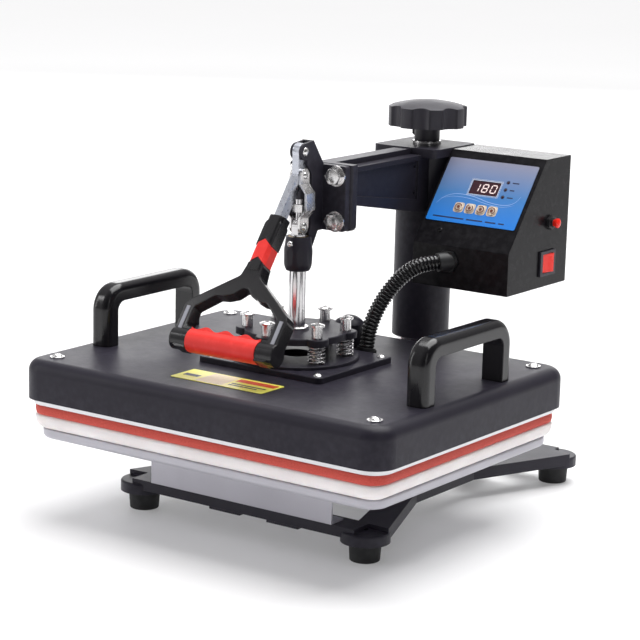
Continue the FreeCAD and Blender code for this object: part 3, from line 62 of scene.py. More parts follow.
# ---------------------------------------------------------------- camera, light and floor
CAMERA_PLACE = (1.1693, -1.6928, 0.6122)
CAMERA_AIM = (0.0, -0.065, 0.120)
CAMERA_ROLL = math.radians(1.31)
CAMERA_LENS = 129.18
CAMERA_SENSOR = 36.0
CAMERA_SHIFT = (0.039, 0.107)
CAMERA_NEAREST = 0.05

DARK_WAY = (0.80, -0.45, -0.10)      # the way to the darker side of the room
ROOM_SIDES = (-0.5, 0.6)             # share of that way at which the room is brightest and darkest
ROOM_STRENGTHS = (0.56, 0.08)        # and how bright it is there
ROOM_COLOUR = (1.0, 0.99, 1.0, 1.0)

FLOOR_REACH = 16.0
FLOOR_GLOW_START = 0.6               # distances from the middle between which the floor's glow grows
FLOOR_GLOW_END = 4.0
FLOOR_GLOWS = (0.20, 0.64)


def aimed(place, aim):
    """A matrix at a place that looks towards the aim."""
    place, aim = Vector(place), Vector(aim)
    return Matrix.Translation(place) @ (aim - place).to_track_quat("-Z", "Y").to_matrix().to_4x4()


def add_camera():
    data = bpy.data.cameras.new("camera")
    data.lens = CAMERA_LENS
    data.sensor_width = CAMERA_SENSOR
    data.shift_x, data.shift_y = CAMERA_SHIFT
    data.clip_start = CAMERA_NEAREST
    camera = add_object("camera", data)
    camera.matrix_world = aimed(CAMERA_PLACE, CAMERA_AIM) @ Matrix.Rotation(CAMERA_ROLL, 4, "Z")
    bpy.context.scene.camera = camera


def add_area_light(name, place, aim, size, power):
    data = bpy.data.lights.new(name, "AREA")
    data.shape = "RECTANGLE"
    data.size, data.size_y = size
    data.energy = power
    add_object(name, data).matrix_world = aimed(place, aim)


def add_room():
    """White surroundings that grow darker towards one side."""
    world = bpy.data.worlds.new("studio")
    world.use_nodes = True
    tree = world.node_tree
    background = tree.nodes["Background"]
    direction = tree.nodes.new("ShaderNodeTexCoord").outputs["Generated"]
    share = tree.nodes.new("ShaderNodeVectorMath")
    share.operation = "DOT_PRODUCT"
    share.inputs[1].default_value = DARK_WAY
    strength = tree.nodes.new("ShaderNodeMapRange")
    for socket, value in zip(list(strength.inputs)[1:5], ROOM_SIDES + ROOM_STRENGTHS):
        socket.default_value = value
    tree.links.new(direction, share.inputs[0])
    tree.links.new(share.outputs["Value"], strength.inputs[0])
    tree.links.new(strength.outputs[0], background.inputs["Strength"])
    background.inputs["Color"].default_value = ROOM_COLOUR
    bpy.context.scene.world = world


def add_studio():
    """The room, a soft box above, a tall strip on each side and a wide one at the back."""
    add_room()
    add_area_light("light_top", place=(0.1, 0.5, 2.2), aim=(0.0, -0.05, 0.15), size=(2.4, 2.0), power=84.0)
    add_area_light("light_left", place=(-1.7, -1.35, 0.95), aim=(0.0, 0.1, 0.3), size=(0.24, 1.7), power=10.0)
    add_area_light("light_right", place=(1.85, -1.15, 0.95), aim=(0.0, 0.1, 0.3), size=(0.16, 1.7), power=2.5)
    add_area_light("light_behind", place=(-1.8, 2.9, 1.05), aim=(0.0, 0.0, 0.3), size=(3.0, 0.9), power=20.0)
    bpy.context.scene.view_settings.view_transform = "Standard"


def add_floor():
    mesh = bpy.data.meshes.new("floor")
    signs = ((-1, -1), (1, -1), (1, 1), (-1, 1))
    mesh.from_pydata([(x * FLOOR_REACH, y * FLOOR_REACH, 0.0) for x, y in signs], [], [(0, 1, 2, 3)])
    mesh.materials.append(floor_paint())
    add_object("floor", mesh)


# ---------------------------------------------------------------- material tools
EDGE_SAMPLES = 4
SHARP_BEND = (0.52, 0.60)            # pointiness at which a worn edge begins and is full
GLOSS_SPREAD = (0.3, 0.7)            # noise values at which a surface is glossiest and dullest


class Shader:
    """A material with a principled surface and short ways to add and join nodes.

    Noise scales are per metre, and depths and radii are in metres.
    """

    def __init__(self, name, colour, roughness, metallic=0.0):
        self.material = bpy.data.materials.new(name)
        self.material.use_nodes = True
        self.tree = self.material.node_tree
        self.surface = self.tree.nodes["Principled BSDF"]
        self.place = self.tree.nodes.new("ShaderNodeTexCoord").outputs["Object"]
        self.set("Base Color", colour)
        self.set("Roughness", roughness)
        self.set("Metallic", metallic)

    def feed(self, socket, value):
        """Joins a node's output to a socket, or gives the socket a fixed value."""
        if isinstance(value, bpy.types.NodeSocket):
            self.tree.links.new(value, socket)
        elif socket.type == "RGBA":
            socket.default_value = (*value, 1.0)
        else:
            socket.default_value = value

    def set(self, name, value):
        self.feed(self.surface.inputs[name], value)

    def node(self, kind, *values, settings=None, **named_values):
        """A new node. The values go to its first sockets in order, and the named ones by name."""
        made = self.tree.nodes.new(kind)
        for key, value in (settings or {}).items():
            setattr(made, key, value)
        for socket, value in zip(made.inputs, values):
            self.feed(socket, value)
        for key, value in named_values.items():
            self.feed(made.inputs[key], value)
        return made

    def stretched(self, scale):
        return self.node("ShaderNodeMapping", self.place, Scale=scale).outputs[0]

    def noise(self, scale, detail=3.0, place=None, rough=0.5):
        values = {"Vector": place or self.place, "Scale": scale, "Detail": detail, "Roughness": rough}
        return self.node("ShaderNodeTexNoise", **values).outputs["Fac"]

    def span(self, value, low, high, to_low=0.0, to_high=1.0):
        """The value moved from one range to another and held at its ends."""
        return self.node("ShaderNodeMapRange", value, low, high, to_low, to_high).outputs[0]

    def patches(self, scale, detail, low, high, most=1.0):
        """Cloudy patches between 0 and most, which begin at one value of a noise and are full at another."""
        return self.span(self.noise(scale, detail), low, high, 0.0, most)

    def product(self, first, second):
        return self.node("ShaderNodeMath", first, second, settings={"operation": "MULTIPLY"}).outputs[0]

    def blend(self, amount, first, second):
        """The first colour turning into the second as the amount goes from 0 to 1."""
        made = self.node("ShaderNodeMix", settings={"data_type": "RGBA"})
        factor, first_colour, second_colour = made.inputs[0], made.inputs[6], made.inputs[7]
        self.feed(factor, amount)
        self.feed(first_colour, first)
        self.feed(second_colour, second)
        return made.outputs[2]

    def soft_edges(self, radius):
        """Normals that round every sharp edge, to put under a bump."""
        return self.node("ShaderNodeBevel", settings={"samples": EDGE_SAMPLES}, Radius=radius).outputs[0]

    def bump(self, height, depth, strength=1.0, below=None):
        made = self.node("ShaderNodeBump", Height=height, Distance=depth, Strength=strength)
        if below is not None:
            self.feed(made.inputs["Normal"], below)
        self.set("Normal", made.outputs[0])
        return made.outputs[0]

    def worn_edges(self):
        return self.span(self.node("ShaderNodeNewGeometry").outputs["Pointiness"], *SHARP_BEND)

    def uneven_gloss(self, value, glossy, dull):
        self.set("Roughness", self.span(value, *GLOSS_SPREAD, glossy, dull))


def shaded(colour, factor, lift=0.0):
    return tuple(min(1.0, part * factor + lift) for part in colour)


# ---------------------------------------------------------------- materials
def floor_paint():
    """Pale matt paint that glows a little, and more with the distance, so that its far side stays pale."""
    shader = Shader("studio_floor", (0.73, 0.73, 0.735), roughness=0.6)
    shader.set("Specular IOR Level", 0.2)
    cloud = shader.patches(2.0, 3.0, 0.3, 0.7)
    shader.set("Base Color", shader.blend(cloud, (0.72, 0.72, 0.725), (0.74, 0.74, 0.745)))
    length = shader.node("ShaderNodeVectorMath", shader.place, settings={"operation": "LENGTH"})
    distance = length.outputs["Value"]
    shader.set("Emission Color", (1.0, 1.0, 1.0))
    shader.set("Emission Strength", shader.span(distance, FLOOR_GLOW_START, FLOOR_GLOW_END, *FLOOR_GLOWS))
    return shader.material


def powder_coat(name, colour, light, roughness, shine=0.22, grain=0.00005, grain_scale=2200.0):
    """Baked powder paint: a fine orange peel, slightly uneven gloss and edges that catch the light."""
    shader = Shader(name, colour, roughness)
    tint = shader.blend(shader.patches(14.0, 4.0, 0.35, 0.65), colour, light)
    worn = shader.product(shader.worn_edges(), shader.patches(160.0, 3.0, 0.4, 0.7, most=0.4))
    shader.set("Base Color", shader.blend(worn, tint, shaded(light, 2.0, 0.01)))
    shader.uneven_gloss(shader.noise(45.0, 5.0), roughness - 0.02, roughness + 0.03)
    shader.set("Specular IOR Level", shine)
    peel = shader.bump(shader.noise(grain_scale, 2.0), grain, below=shader.soft_edges(0.0008))
    shader.bump(shader.noise(grain_scale / 8.0, 2.0), grain * 1.5, strength=0.6, below=peel)
    return shader.material


def bright_plating(name, colour, roughness):
    """Zinc or nickel plating: clean metal with faint smears."""
    shader = Shader(name, colour, roughness, metallic=1.0)
    shader.uneven_gloss(shader.noise(220.0, 4.0), roughness * 0.85, roughness * 1.2)
    shader.set("Base Color", shader.blend(shader.patches(90.0, 3.0, 0.3, 0.7), colour, shaded(colour, 0.92)))
    shader.bump(shader.noise(1500.0, 2.0), 0.000004, below=shader.soft_edges(0.0004))
    return shader.material


def drawn_metal(name, colour, roughness, along):
    """Turned or rolled metal with fine lines along one direction."""
    shader = Shader(name, colour, roughness, metallic=1.0)
    lines = shader.noise(90.0, 6.0, shader.stretched(along))
    shader.uneven_gloss(lines, roughness - 0.06, roughness + 0.10)
    shader.set("Base Color", shader.blend(lines, shaded(colour, 0.86), colour))
    shader.bump(lines, 0.00002)
    return shader.material


def silver_paint(name, colour, roughness):
    """Metallic silver paint on sheet steel."""
    shader = Shader(name, colour, roughness, metallic=0.35)
    flake = shader.noise(6000.0, 1.0)
    cloud = shader.noise(18.0, 4.0)
    tint = shader.blend(shader.span(flake, 0.35, 0.65), shaded(colour, 0.9), colour)
    shade = shader.span(cloud, 0.4, 0.75, 0.0, 0.6)
    shader.set("Base Color", shader.blend(shade, tint, shaded(colour, 0.86)))
    shader.uneven_gloss(cloud, roughness - 0.05, roughness + 0.07)
    shader.bump(flake, 0.00001, below=shader.soft_edges(0.0006))
    return shader.material


def moulded_plastic(name, colour, roughness, shine=0.32, edge=0.0006, grain=0.00003, grain_scale=1800.0):
    """Injection-moulded plastic with a fine texture and slightly polished edges."""
    shader = Shader(name, colour, roughness)
    shader.set("Specular IOR Level", shine)
    polished = shader.product(shader.worn_edges(), 0.6)
    shader.set("Base Color", shader.blend(polished, colour, shaded(colour, 1.5, 0.012)))
    shader.uneven_gloss(shader.noise(60.0, 4.0), roughness * 0.9, roughness * 1.15)
    shader.bump(shader.noise(grain_scale, 2.0), grain, below=shader.soft_edges(edge))
    return shader.material


def rubber(name, colour, roughness):
    shader = Shader(name, colour, roughness)
    shader.set("Specular IOR Level", 0.35)
    dust = shader.patches(120.0, 5.0, 0.5, 0.8, most=0.5)
    shader.set("Base Color", shader.blend(dust, colour, shaded(colour, 1.6, 0.02)))
    shader.bump(shader.noise(1400.0, 3.0), 0.00006)
    return shader.material


def silicone_sponge(name):
    """Off-white silicone foam: tiny closed pores on the cut edge, darkened with painted shade, and a soft,
    slightly waxy look.
    """
    shader = Shader(name, (0.90, 0.84, 0.80), roughness=0.62)
    shader.set("Subsurface Weight", 0.15)
    shader.set("Subsurface Radius", (0.002, 0.0014, 0.001))
    pores = shader.node("ShaderNodeTexVoronoi", Vector=shader.place, Scale=1100.0).outputs["Distance"]
    tint = shader.blend(shader.patches(35.0, 4.0, 0.35, 0.65), (0.95, 0.90, 0.90), (0.90, 0.84, 0.84))
    # The pores are darkened towards their middles: painted shade in them.
    pore_shade = shader.span(pores, 0.0, 0.35, 0.35, 0.0)
    shader.set("Base Color", shader.blend(pore_shade, tint, (0.70, 0.62, 0.58)))
    fine = shader.bump(shader.span(pores, 0.0, 0.4), 0.00008)
    shader.bump(shader.noise(260.0, 3.0), 0.00012, strength=0.5, below=fine)
    return shader.material


def red_felt(name):
    """Pressed red felt: short fibres lying every way, with paler fluff."""
    shader = Shader(name, (0.62, 0.11, 0.09), roughness=0.95)
    shader.set("Sheen Weight", 0.35)
    shader.set("Sheen Tint", (1.0, 0.6, 0.55))
    shader.set("Specular IOR Level", 0.15)
    fibres = shader.noise(700.0, 6.0, shader.stretched((1.0, 1.0, 3.5)), rough=0.7)
    fluff = shader.noise(2600.0, 5.0, rough=0.75)
    tint = shader.blend(shader.span(fibres, 0.35, 0.65), (0.52, 0.060, 0.045), (0.72, 0.12, 0.095))
    pale = shader.span(fluff, 0.52, 0.72, 0.0, 0.4)
    shader.set("Base Color", shader.blend(pale, tint, (0.80, 0.20, 0.16)))
    weave = shader.bump(fibres, 0.00035)
    shader.bump(fluff, 0.0002, strength=0.8, below=weave)
    return shader.material


def glossy_hose(name):
    """Polished black plastic with a little dust."""
    shader = Shader(name, (0.016, 0.016, 0.018), roughness=0.22)
    shader.set("Coat Weight", 0.25)
    shader.set("Coat Roughness", 0.15)
    dust = shader.patches(300.0, 4.0, 0.5, 0.8, most=0.4)
    shader.set("Base Color", shader.blend(dust, (0.005, 0.005, 0.006), (0.012, 0.012, 0.013)))
    shader.uneven_gloss(shader.noise(150.0, 4.0), 0.13, 0.20)
    shader.bump(shader.noise(2500.0, 2.0), 0.00002)
    return shader.material


def printed_membrane(name):
    """Polyester overlay whose blue deepens from a grey-lilac top to a bright bottom."""
    shader = Shader(name, (0.10, 0.28, 0.75), roughness=0.36)
    low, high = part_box("membrane_panel")
    height = shader.node("ShaderNodeSeparateXYZ", Vector=shader.place).outputs["Z"]
    rise = shader.span(height, low.z, high.z)
    lower = shader.blend(shader.span(rise, 0.0, 0.5), (0.004, 0.21, 0.76), (0.045, 0.20, 0.50))
    shader.set("Base Color", shader.blend(shader.span(rise, 0.45, 1.0), lower, (0.25, 0.255, 0.35)))
    shader.uneven_gloss(shader.noise(300.0), 0.30, 0.42)
    shader.bump(shader.noise(2600.0, 2.0), 0.00002)
    return shader.material


def ink(name, colour, painted_glow=0.0):
    """Screen-printed ink: an even colour with slightly uneven cover, and a glow of painted light where one is
    given.
    """
    shader = Shader(name, colour, roughness=0.4)
    cover = shader.patches(900.0, 3.0, 0.35, 0.7, most=0.35)
    shader.set("Base Color", shader.blend(cover, colour, shaded(colour, 0.8)))
    shader.uneven_gloss(shader.noise(400.0), 0.34, 0.46)
    shader.bump(shader.noise(2500.0, 2.0), 0.00001)
    # A glow given here is painted light: the ink is no lamp.
    if painted_glow:
        shader.set("Emission Color", colour)
        shader.set("Emission Strength", painted_glow)
    return shader.material


# Each material slot of the record: the kind of surface and what sets it apart.
CAD_FINISHES = {
    "cast_black": (powder_coat, {
        "colour": (0.022, 0.020, 0.029), "light": (0.026, 0.024, 0.034), "roughness": 0.38,
        "grain": 0.00009, "grain_scale": 1100.0,
    }),
    "shell_black": (powder_coat, {
        "colour": (0.018, 0.016, 0.025), "light": (0.022, 0.020, 0.029), "roughness": 0.40, "shine": 0.18,
    }),
    "box_black": (powder_coat, {
        "colour": (0.006, 0.0055, 0.007), "light": (0.008, 0.0075, 0.009), "roughness": 0.22, "shine": 0.12,
    }),
    "zinc_steel": (bright_plating, {"colour": (0.80, 0.79, 0.79), "roughness": 0.24}),
    "chrome_tube": (bright_plating, {"colour": (0.66, 0.65, 0.66), "roughness": 0.16}),
    "lever_steel": (bright_plating, {"colour": (0.56, 0.58, 0.64), "roughness": 0.28}),
    "sheet_silver": (silver_paint, {"colour": (0.50, 0.49, 0.54), "roughness": 0.34}),
    "bare_steel": (drawn_metal, {"colour": (0.55, 0.54, 0.53), "roughness": 0.32, "along": (1.0, 1.0, 12.0)}),
    "bush_brass": (drawn_metal, {"colour": (0.66, 0.48, 0.22), "roughness": 0.3, "along": (1.0, 1.0, 9.0)}),
    "plate_aluminium": (drawn_metal, {
        "colour": (0.70, 0.70, 0.72), "roughness": 0.34, "along": (14.0, 1.0, 1.0),
    }),
    "element_steel": (drawn_metal, {
        "colour": (0.45, 0.44, 0.42), "roughness": 0.4, "along": (1.0, 1.0, 1.0),
    }),
    "handle_black": (moulded_plastic, {
        "colour": (0.006, 0.0055, 0.007), "roughness": 0.16, "shine": 0.42, "edge": 0.0016,
        "grain": 0.000004, "grain_scale": 900.0,
    }),
    "knob_black": (moulded_plastic, {"colour": (0.020, 0.018, 0.026), "roughness": 0.40}),
    "inlay_grey": (moulded_plastic, {"colour": (0.22, 0.22, 0.25), "roughness": 0.36}),
    "gland_black": (moulded_plastic, {"colour": (0.018, 0.018, 0.020), "roughness": 0.42}),
    "display_dark": (moulded_plastic, {"colour": (0.03, 0.006, 0.012), "roughness": 0.12}),
    "key_cream": (moulded_plastic, {"colour": (0.72, 0.60, 0.48), "roughness": 0.42}),
    "rocker_red": (moulded_plastic, {"colour": (0.90, 0.020, 0.010), "roughness": 0.25}),
    "notice_yellow": (moulded_plastic, {"colour": (0.78, 0.66, 0.10), "roughness": 0.3}),
    "rubber_black": (rubber, {"colour": (0.018, 0.018, 0.019), "roughness": 0.62}),
    "handle_red": (rubber, {"colour": (0.80, 0.028, 0.022), "roughness": 0.42}),
    "pad_white": (silicone_sponge, {}),
    "pad_red": (red_felt, {}),
    "conduit_black": (glossy_hose, {}),
    "panel_blue": (printed_membrane, {}),
}

INK_COLOURS = {
    "print_white": (0.82, 0.84, 0.92),
    "print_pale": (0.34, 0.52, 0.90),
    "print_dark": (0.010, 0.014, 0.060),
    "print_brown": (0.16, 0.035, 0.02),
    "print_red": (0.62, 0.06, 0.012),
    "print_cream": (0.80, 0.68, 0.42),
    "tile_cream": (0.70, 0.58, 0.46),
}
# The figures are unlit; their faint glow is painted light.
DIGIT_COLOUR = (0.90, 0.72, 0.70)
DIGIT_PAINTED_GLOW = 0.25


def finish_cad_nodes():
    """Gives every CAD node the finish of its slot, and returns the finishes by slot."""
    made = {}
    for part in frame["record"]["subparts"]:
        name = part["material_slot"]
        if name not in made:
            kind, values = CAD_FINISHES[name]
            made[name] = kind(name, **values)
        materials = frame["nodes"][part["node"]].data.materials
        materials.clear()
        materials.append(made[name])
    return made


def mix_inks():
    made = {name: ink(name, colour) for name, colour in INK_COLOURS.items()}
    made["digit_pink"] = ink("digit_pink", DIGIT_COLOUR, DIGIT_PAINTED_GLOW)
    return made


# ---------------------------------------------------------------- mesh tools
def new_piece(name, mesh, body, finish, *nodes):
    """Puts a mesh into the scene on its body, in place of the CAD nodes that it stands for.

    The finish is a material slot of the record or the name of an ink.
    """
    piece = add_object(name, mesh)
    if finish in inks:
        mesh.materials.append(inks[finish])
    else:
        mesh.materials.append(finishes[finish])
    if nodes:
        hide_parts(*nodes)
    if body:
        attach(piece, body)
    return piece


def mesh_from(name, shape, smooth=True):
    """A mesh of a shape, which is its vertices and faces."""
    vertices, faces = shape
    mesh = bpy.data.meshes.new(name)
    mesh.from_pydata(vertices, [], faces)
    mesh.validate()
    mesh.polygons.foreach_set("use_smooth", [smooth] * len(mesh.polygons))
    return mesh


def joined(shapes):
    """Several shapes as one."""
    vertices, faces = [], []
    for more_vertices, more_faces in shapes:
        faces += [tuple(len(vertices) + k for k in face) for face in more_faces]
        vertices += more_vertices
    return vertices, faces


def skin(ring_count, around):
    """The faces of a closed body over rings of vertices, with a cap at each end."""
    faces = []
    for ring in range(ring_count - 1):
        first = ring * around
        for k in range(around):
            step = (k + 1) % around
            faces.append((first + k, first + step, first + around + step, first + around + k))
    last = (ring_count - 1) * around
    faces.append(tuple(reversed(range(around))))
    faces.append(tuple(last + k for k in range(around)))
    return faces


def frames_along(points):
    """Unit directions across the line at each point, turned as little as possible from one to the next."""
    tangents = []
    for k in range(len(points)):
        before = points[max(k - 1, 0)]
        after = points[min(k + 1, len(points) - 1)]
        tangents.append((after - before).normalized())
    side = tangents[0].orthogonal().normalized()
    frames = []
    for tangent in tangents:
        side = (side - tangent * side.dot(tangent)).normalized()
        frames.append((side, tangent.cross(side)))
    return frames


def tube(points, radii, around):
    """A closed tube through the points with a radius for each."""
    vertices = []
    for (side, up), point, radius in zip(frames_along(points), points, radii):
        for k in range(around):
            turn = 2 * math.pi * k / around
            vertices.append(point + (side * math.cos(turn) + up * math.sin(turn)) * radius)
    return vertices, skin(len(points), around)


def distances_along(points):
    """How far along the line each point lies."""
    distances = [0.0]
    for first, second in zip(points, points[1:]):
        distances.append(distances[-1] + (second - first).length)
    return distances


def equal_steps(points, count):
    """The same line as points at the ends of equal steps."""
    distances = distances_along(points)
    made = []
    at = 0
    for k in range(count + 1):
        wanted = distances[-1] * k / count
        while at < len(distances) - 2 and distances[at + 1] < wanted:
            at += 1
        part = (wanted - distances[at]) / (distances[at + 1] - distances[at])
        made.append(points[at].lerp(points[at + 1], part))
    return made


def even_points(points, spacing):
    """The same line with its points near an even spacing."""
    return equal_steps(points, max(2, round(distances_along(points)[-1] / spacing)))


# ---------------------------------------------------------------- conduit
CONDUIT_DIAMETER = 0.0145
CONDUIT_ROUTE = [            # control points of the centre line, from the heated platen up to the control box
    (0.030, 0.003, 0.151),
    (0.0304, 0.005, 0.164),
    (0.0324, 0.009, 0.1775),
    (0.036, 0.0145, 0.1905),
    (0.041, 0.021, 0.2025),
    (0.0468, 0.0285, 0.213),
    (0.0536, 0.037, 0.2215),
    (0.0615, 0.0465, 0.2263),
    (0.0693, 0.0568, 0.2271),
]
CURVE_STEPS = 16
CURVE_ORDER = 3
RIB_PITCH = 0.0034
RIB_DEPTH = 0.0013
RIB_STEPS = 10.0
RIB_SHARPNESS = 1.5          # above 1 the grooves are narrower than the ridges
CONDUIT_AROUND = 36


def route_line(name, route):
    """Points on the smooth line that a route's points control."""
    curve = bpy.data.curves.new(name, "CURVE")
    curve.dimensions = "3D"
    curve.resolution_u = CURVE_STEPS
    spline = curve.splines.new("NURBS")
    spline.points.add(len(route) - 1)
    for point, place in zip(spline.points, route):
        point.co = (*place, 1.0)
    spline.order_u = CURVE_ORDER
    spline.use_endpoint_u = True
    holder = add_object(name, curve)
    bpy.context.view_layer.update()
    mesh = bpy.data.meshes.new_from_object(holder)
    points = [v.co.copy() for v in mesh.vertices]
    bpy.data.objects.remove(holder)
    bpy.data.meshes.remove(mesh)
    return points


def add_conduit():
    """A ribbed hose: rounded ridges with narrow grooves between them."""
    line = route_line("conduit_line", CONDUIT_ROUTE)
    length = distances_along(line)[-1]
    points = even_points(line, RIB_PITCH / RIB_STEPS)
    radii = []
    for k in range(len(points)):
        phase = (length * k / (len(points) - 1)) / RIB_PITCH
        groove = max(0.0, math.cos(2 * math.pi * phase)) ** RIB_SHARPNESS
        radii.append(CONDUIT_DIAMETER / 2.0 - RIB_DEPTH * groove)
    mesh = mesh_from("conduit_hose", tube(points, radii, CONDUIT_AROUND))
    hose = new_piece("conduit_hose", mesh, None, "conduit_black", "conduit")
    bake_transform(hose)


# ---------------------------------------------------------------- springs
WIRE_RADIUS = 0.00085
SPRING_RADIUS = 0.0071
SPRING_TURNS = 3.8
CLOSED_TURNS = 0.8
CLOSED_RISE = 1.1 * WIRE_RADIUS      # how far the closed turns at an end climb
TURN_STEPS = 28
SPRING_AROUND = 10
BOLT_COUNT = 6
BOLT_HEAD_RADIUS = 0.0068


def bolt_places():
    """The axes of the spring bolts, from the middle and reach of their node."""
    low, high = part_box("spring_bolts")
    middle = (low + high) / 2.0
    reach = (high.y - low.y) / 2.0 - BOLT_HEAD_RADIUS
    angles = [math.radians(-90 + 360 / BOLT_COUNT * k) for k in range(BOLT_COUNT)]
    return [(middle.x + reach * math.cos(a), middle.y + reach * math.sin(a)) for a in angles]


def spring_line(x, y, low, high):
    """A coil whose first and last turns lie flat."""
    points = []
    turns = SPRING_TURNS + 2 * CLOSED_TURNS
    steps = int(turns * TURN_STEPS)
    for k in range(steps + 1):
        turn = turns * k / steps
        if turn < CLOSED_TURNS:
            rise = CLOSED_RISE * turn / CLOSED_TURNS
        elif turn > turns - CLOSED_TURNS:
            rise = (high - low) - CLOSED_RISE * (turns - turn) / CLOSED_TURNS
        else:
            rise = CLOSED_RISE + (high - low - 2 * CLOSED_RISE) * (turn - CLOSED_TURNS) / SPRING_TURNS
        angle = 2 * math.pi * turn
        place = (x + SPRING_RADIUS * math.cos(angle), y + SPRING_RADIUS * math.sin(angle), low + rise)
        points.append(Vector(place))
    return points


def add_springs():
    """One coil round each bolt, between the round plate and the floating flange."""
    low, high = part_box("pressure_springs")
    coils = []
    for x, y in bolt_places():
        line = spring_line(x, y, low.z + WIRE_RADIUS, high.z - WIRE_RADIUS)
        coils.append(tube(line, [WIRE_RADIUS] * len(line), SPRING_AROUND))
    mesh = mesh_from("pressure_coils", joined(coils))
    piece = new_piece("pressure_coils", mesh, None, "chrome_tube", "pressure_springs")
    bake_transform(piece)


# ---------------------------------------------------------------- pads
PAD_CORNER = 0.018
PAD_AROUND = 420
CORNER_STEPS = 10
LOOP_SPACING = 0.004
SMALLEST_CORNER = 0.001
PAD_WAVES = ((60.0, 0.6), (240.0, 0.4))          # of a rim's unevenness: how close they are, and their weight
SPONGE_UNEVENNESS = 0.0003
FELT_UNEVENNESS = 0.0006
SPONGE_SIDE = [              # inset and share of the height
    (0.030, 0.0), (0.008, 0.0), (0.0065, 0.03), (0.0035, 0.16), (0.0012, 0.36), (0.0002, 0.6),
    (0.0, 0.82), (0.0004, 0.93), (0.0016, 1.0), (0.030, 1.0),
]
FELT_SIDE = [
    (0.030, 0.0), (0.0018, 0.0), (0.0008, 0.06), (0.0003, 0.25), (0.0, 0.5), (0.0003, 0.78),
    (0.0009, 0.94), (0.002, 1.0), (0.030, 1.0),
]


def rounded_loop(low, high, inset, corner, height):
    """Points round a rectangle with round corners, at one height."""
    x0, y0, x1, y1 = low.x + inset, low.y + inset, high.x - inset, high.y - inset
    radius = max(corner - inset, SMALLEST_CORNER)
    centres = (
        (x1 - radius, y1 - radius), (x0 + radius, y1 - radius),
        (x0 + radius, y0 + radius), (x1 - radius, y0 + radius),
    )
    points = []
    for quarter, (cx, cy) in enumerate(centres):
        for k in range(CORNER_STEPS + 1):
            angle = math.pi / 2 * (quarter + k / CORNER_STEPS)
            points.append(Vector((cx + radius * math.cos(angle), cy + radius * math.sin(angle), height)))
    filled = []
    for first, second in zip(points, points[1:] + points[:1]):
        filled.append(first)
        steps = round((second - first).length / LOOP_SPACING)
        filled += [first.lerp(second, k / steps) for k in range(1, steps)]
    return filled


def pad_loop(low, high, inset, height):
    """The loop with a fixed number of points, so that neighbouring loops join."""
    loop = rounded_loop(low, high, inset, PAD_CORNER, height)
    closed = even_points(loop + loop[:1], (2 * (high.x - low.x + high.y - low.y)) / PAD_AROUND)
    return equal_steps(closed, PAD_AROUND)[:-1]


def pad_mesh(name, node, profile, unevenness):
    """A slab whose side follows the profile, slightly uneven at its rim."""
    low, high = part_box(node)
    vertices = []
    for inset, share in profile:
        height = low.z + (high.z - low.z) * share
        centre = Vector(((low.x + high.x) / 2.0, (low.y + high.y) / 2.0, height))
        for point in pad_loop(low, high, inset, height):
            uneven = sum(noise.noise(point * rate) * weight for rate, weight in PAD_WAVES)
            inward = (centre - point).normalized()
            vertices.append(point + inward * unevenness * (0.5 + 0.5 * uneven))
    return mesh_from(name, (vertices, skin(len(profile), PAD_AROUND)))


def add_pads():
    """The silicone sponge bed and the felt sheet on it, both pressed flat by the heated plate."""
    bed = pad_mesh("sponge_bed", "white_pad", SPONGE_SIDE, SPONGE_UNEVENNESS)
    sheet = pad_mesh("felt_sheet", "red_pad", FELT_SIDE, FELT_UNEVENNESS)
    new_piece("sponge_bed", bed, "base", "pad_white", "white_pad")
    new_piece("felt_sheet", sheet, "base", "pad_red", "red_pad")


# ---------------------------------------------------------------- thin printed and fitted shapes
def slabs(outlines, low, high, place):
    """Flat shapes of one thickness, given as outlines in a plane."""
    vertices, faces = [], []
    for outline in outlines:
        count = len(outline)
        first = len(vertices)
        vertices += [place @ Vector((x, y, low)) for x, y in outline]
        vertices += [place @ Vector((x, y, high)) for x, y in outline]
        faces.append(tuple(first + k for k in reversed(range(count))))
        faces.append(tuple(first + count + k for k in range(count)))
        faces += [
            (first + k, first + (k + 1) % count, first + count + (k + 1) % count, first + count + k)
            for k in range(count)
        ]
    return vertices, faces


def rings(pairs, low, high, place):
    """Flat shapes with a hole, given as pairs of outlines with equal numbers of points."""
    vertices, faces = [], []
    for outer, inner in pairs:
        count = len(outer)
        first = len(vertices)
        for outline, height in ((outer, low), (inner, low), (outer, high), (inner, high)):
            vertices += [place @ Vector((x, y, height)) for x, y in outline]
        a, b, c, d = (first + count * k for k in range(4))
        for k in range(count):
            step = (k + 1) % count
            faces.append((a + step, a + k, b + k, b + step))
            faces.append((c + k, c + step, d + step, d + k))
            faces.append((a + k, a + step, c + step, c + k))
            faces.append((b + step, b + k, d + k, d + step))
    return vertices, faces


def box_outline(x0, x1, y0, y1):
    return [(x0, y0), (x1, y0), (x1, y1), (x0, y1)]


def circle(x, y, radius, count=40, start=0.0, end=360.0):
    """Points on a circle, or on a part of it with both its ends."""
    steps = count if end - start >= 360.0 else count - 1
    angles = [math.radians(start + (end - start) * k / steps) for k in range(count)]
    return [(x + radius * math.cos(a), y + radius * math.sin(a)) for a in angles]


def square_loop(x, y, half, corner, count=40):
    """A square with round corners as rays from its middle, to pair with a circle."""
    points = []
    power = half / corner
    for k in range(count):
        angle = 2 * math.pi * k / count
        reach = (abs(math.cos(angle)) ** power + abs(math.sin(angle)) ** power) ** (-1.0 / power) * half
        points.append((x + reach * math.cos(angle), y + reach * math.sin(angle)))
    return points


def arc_band(x, y, outer, inner, start, end, count=24):
    return circle(x, y, outer, count, start, end) + list(reversed(circle(x, y, inner, count, start, end)))


def between(a, b, c, d, t):
    """A value between b and c, at the share t, on a smooth curve that comes from a and goes on to d."""
    square = (2 * a - 5 * b + 4 * c - d) * t * t
    cube = (3 * b - a - 3 * c + d) * t ** 3
    return 0.5 * (2 * b + (c - a) * t + square + cube)


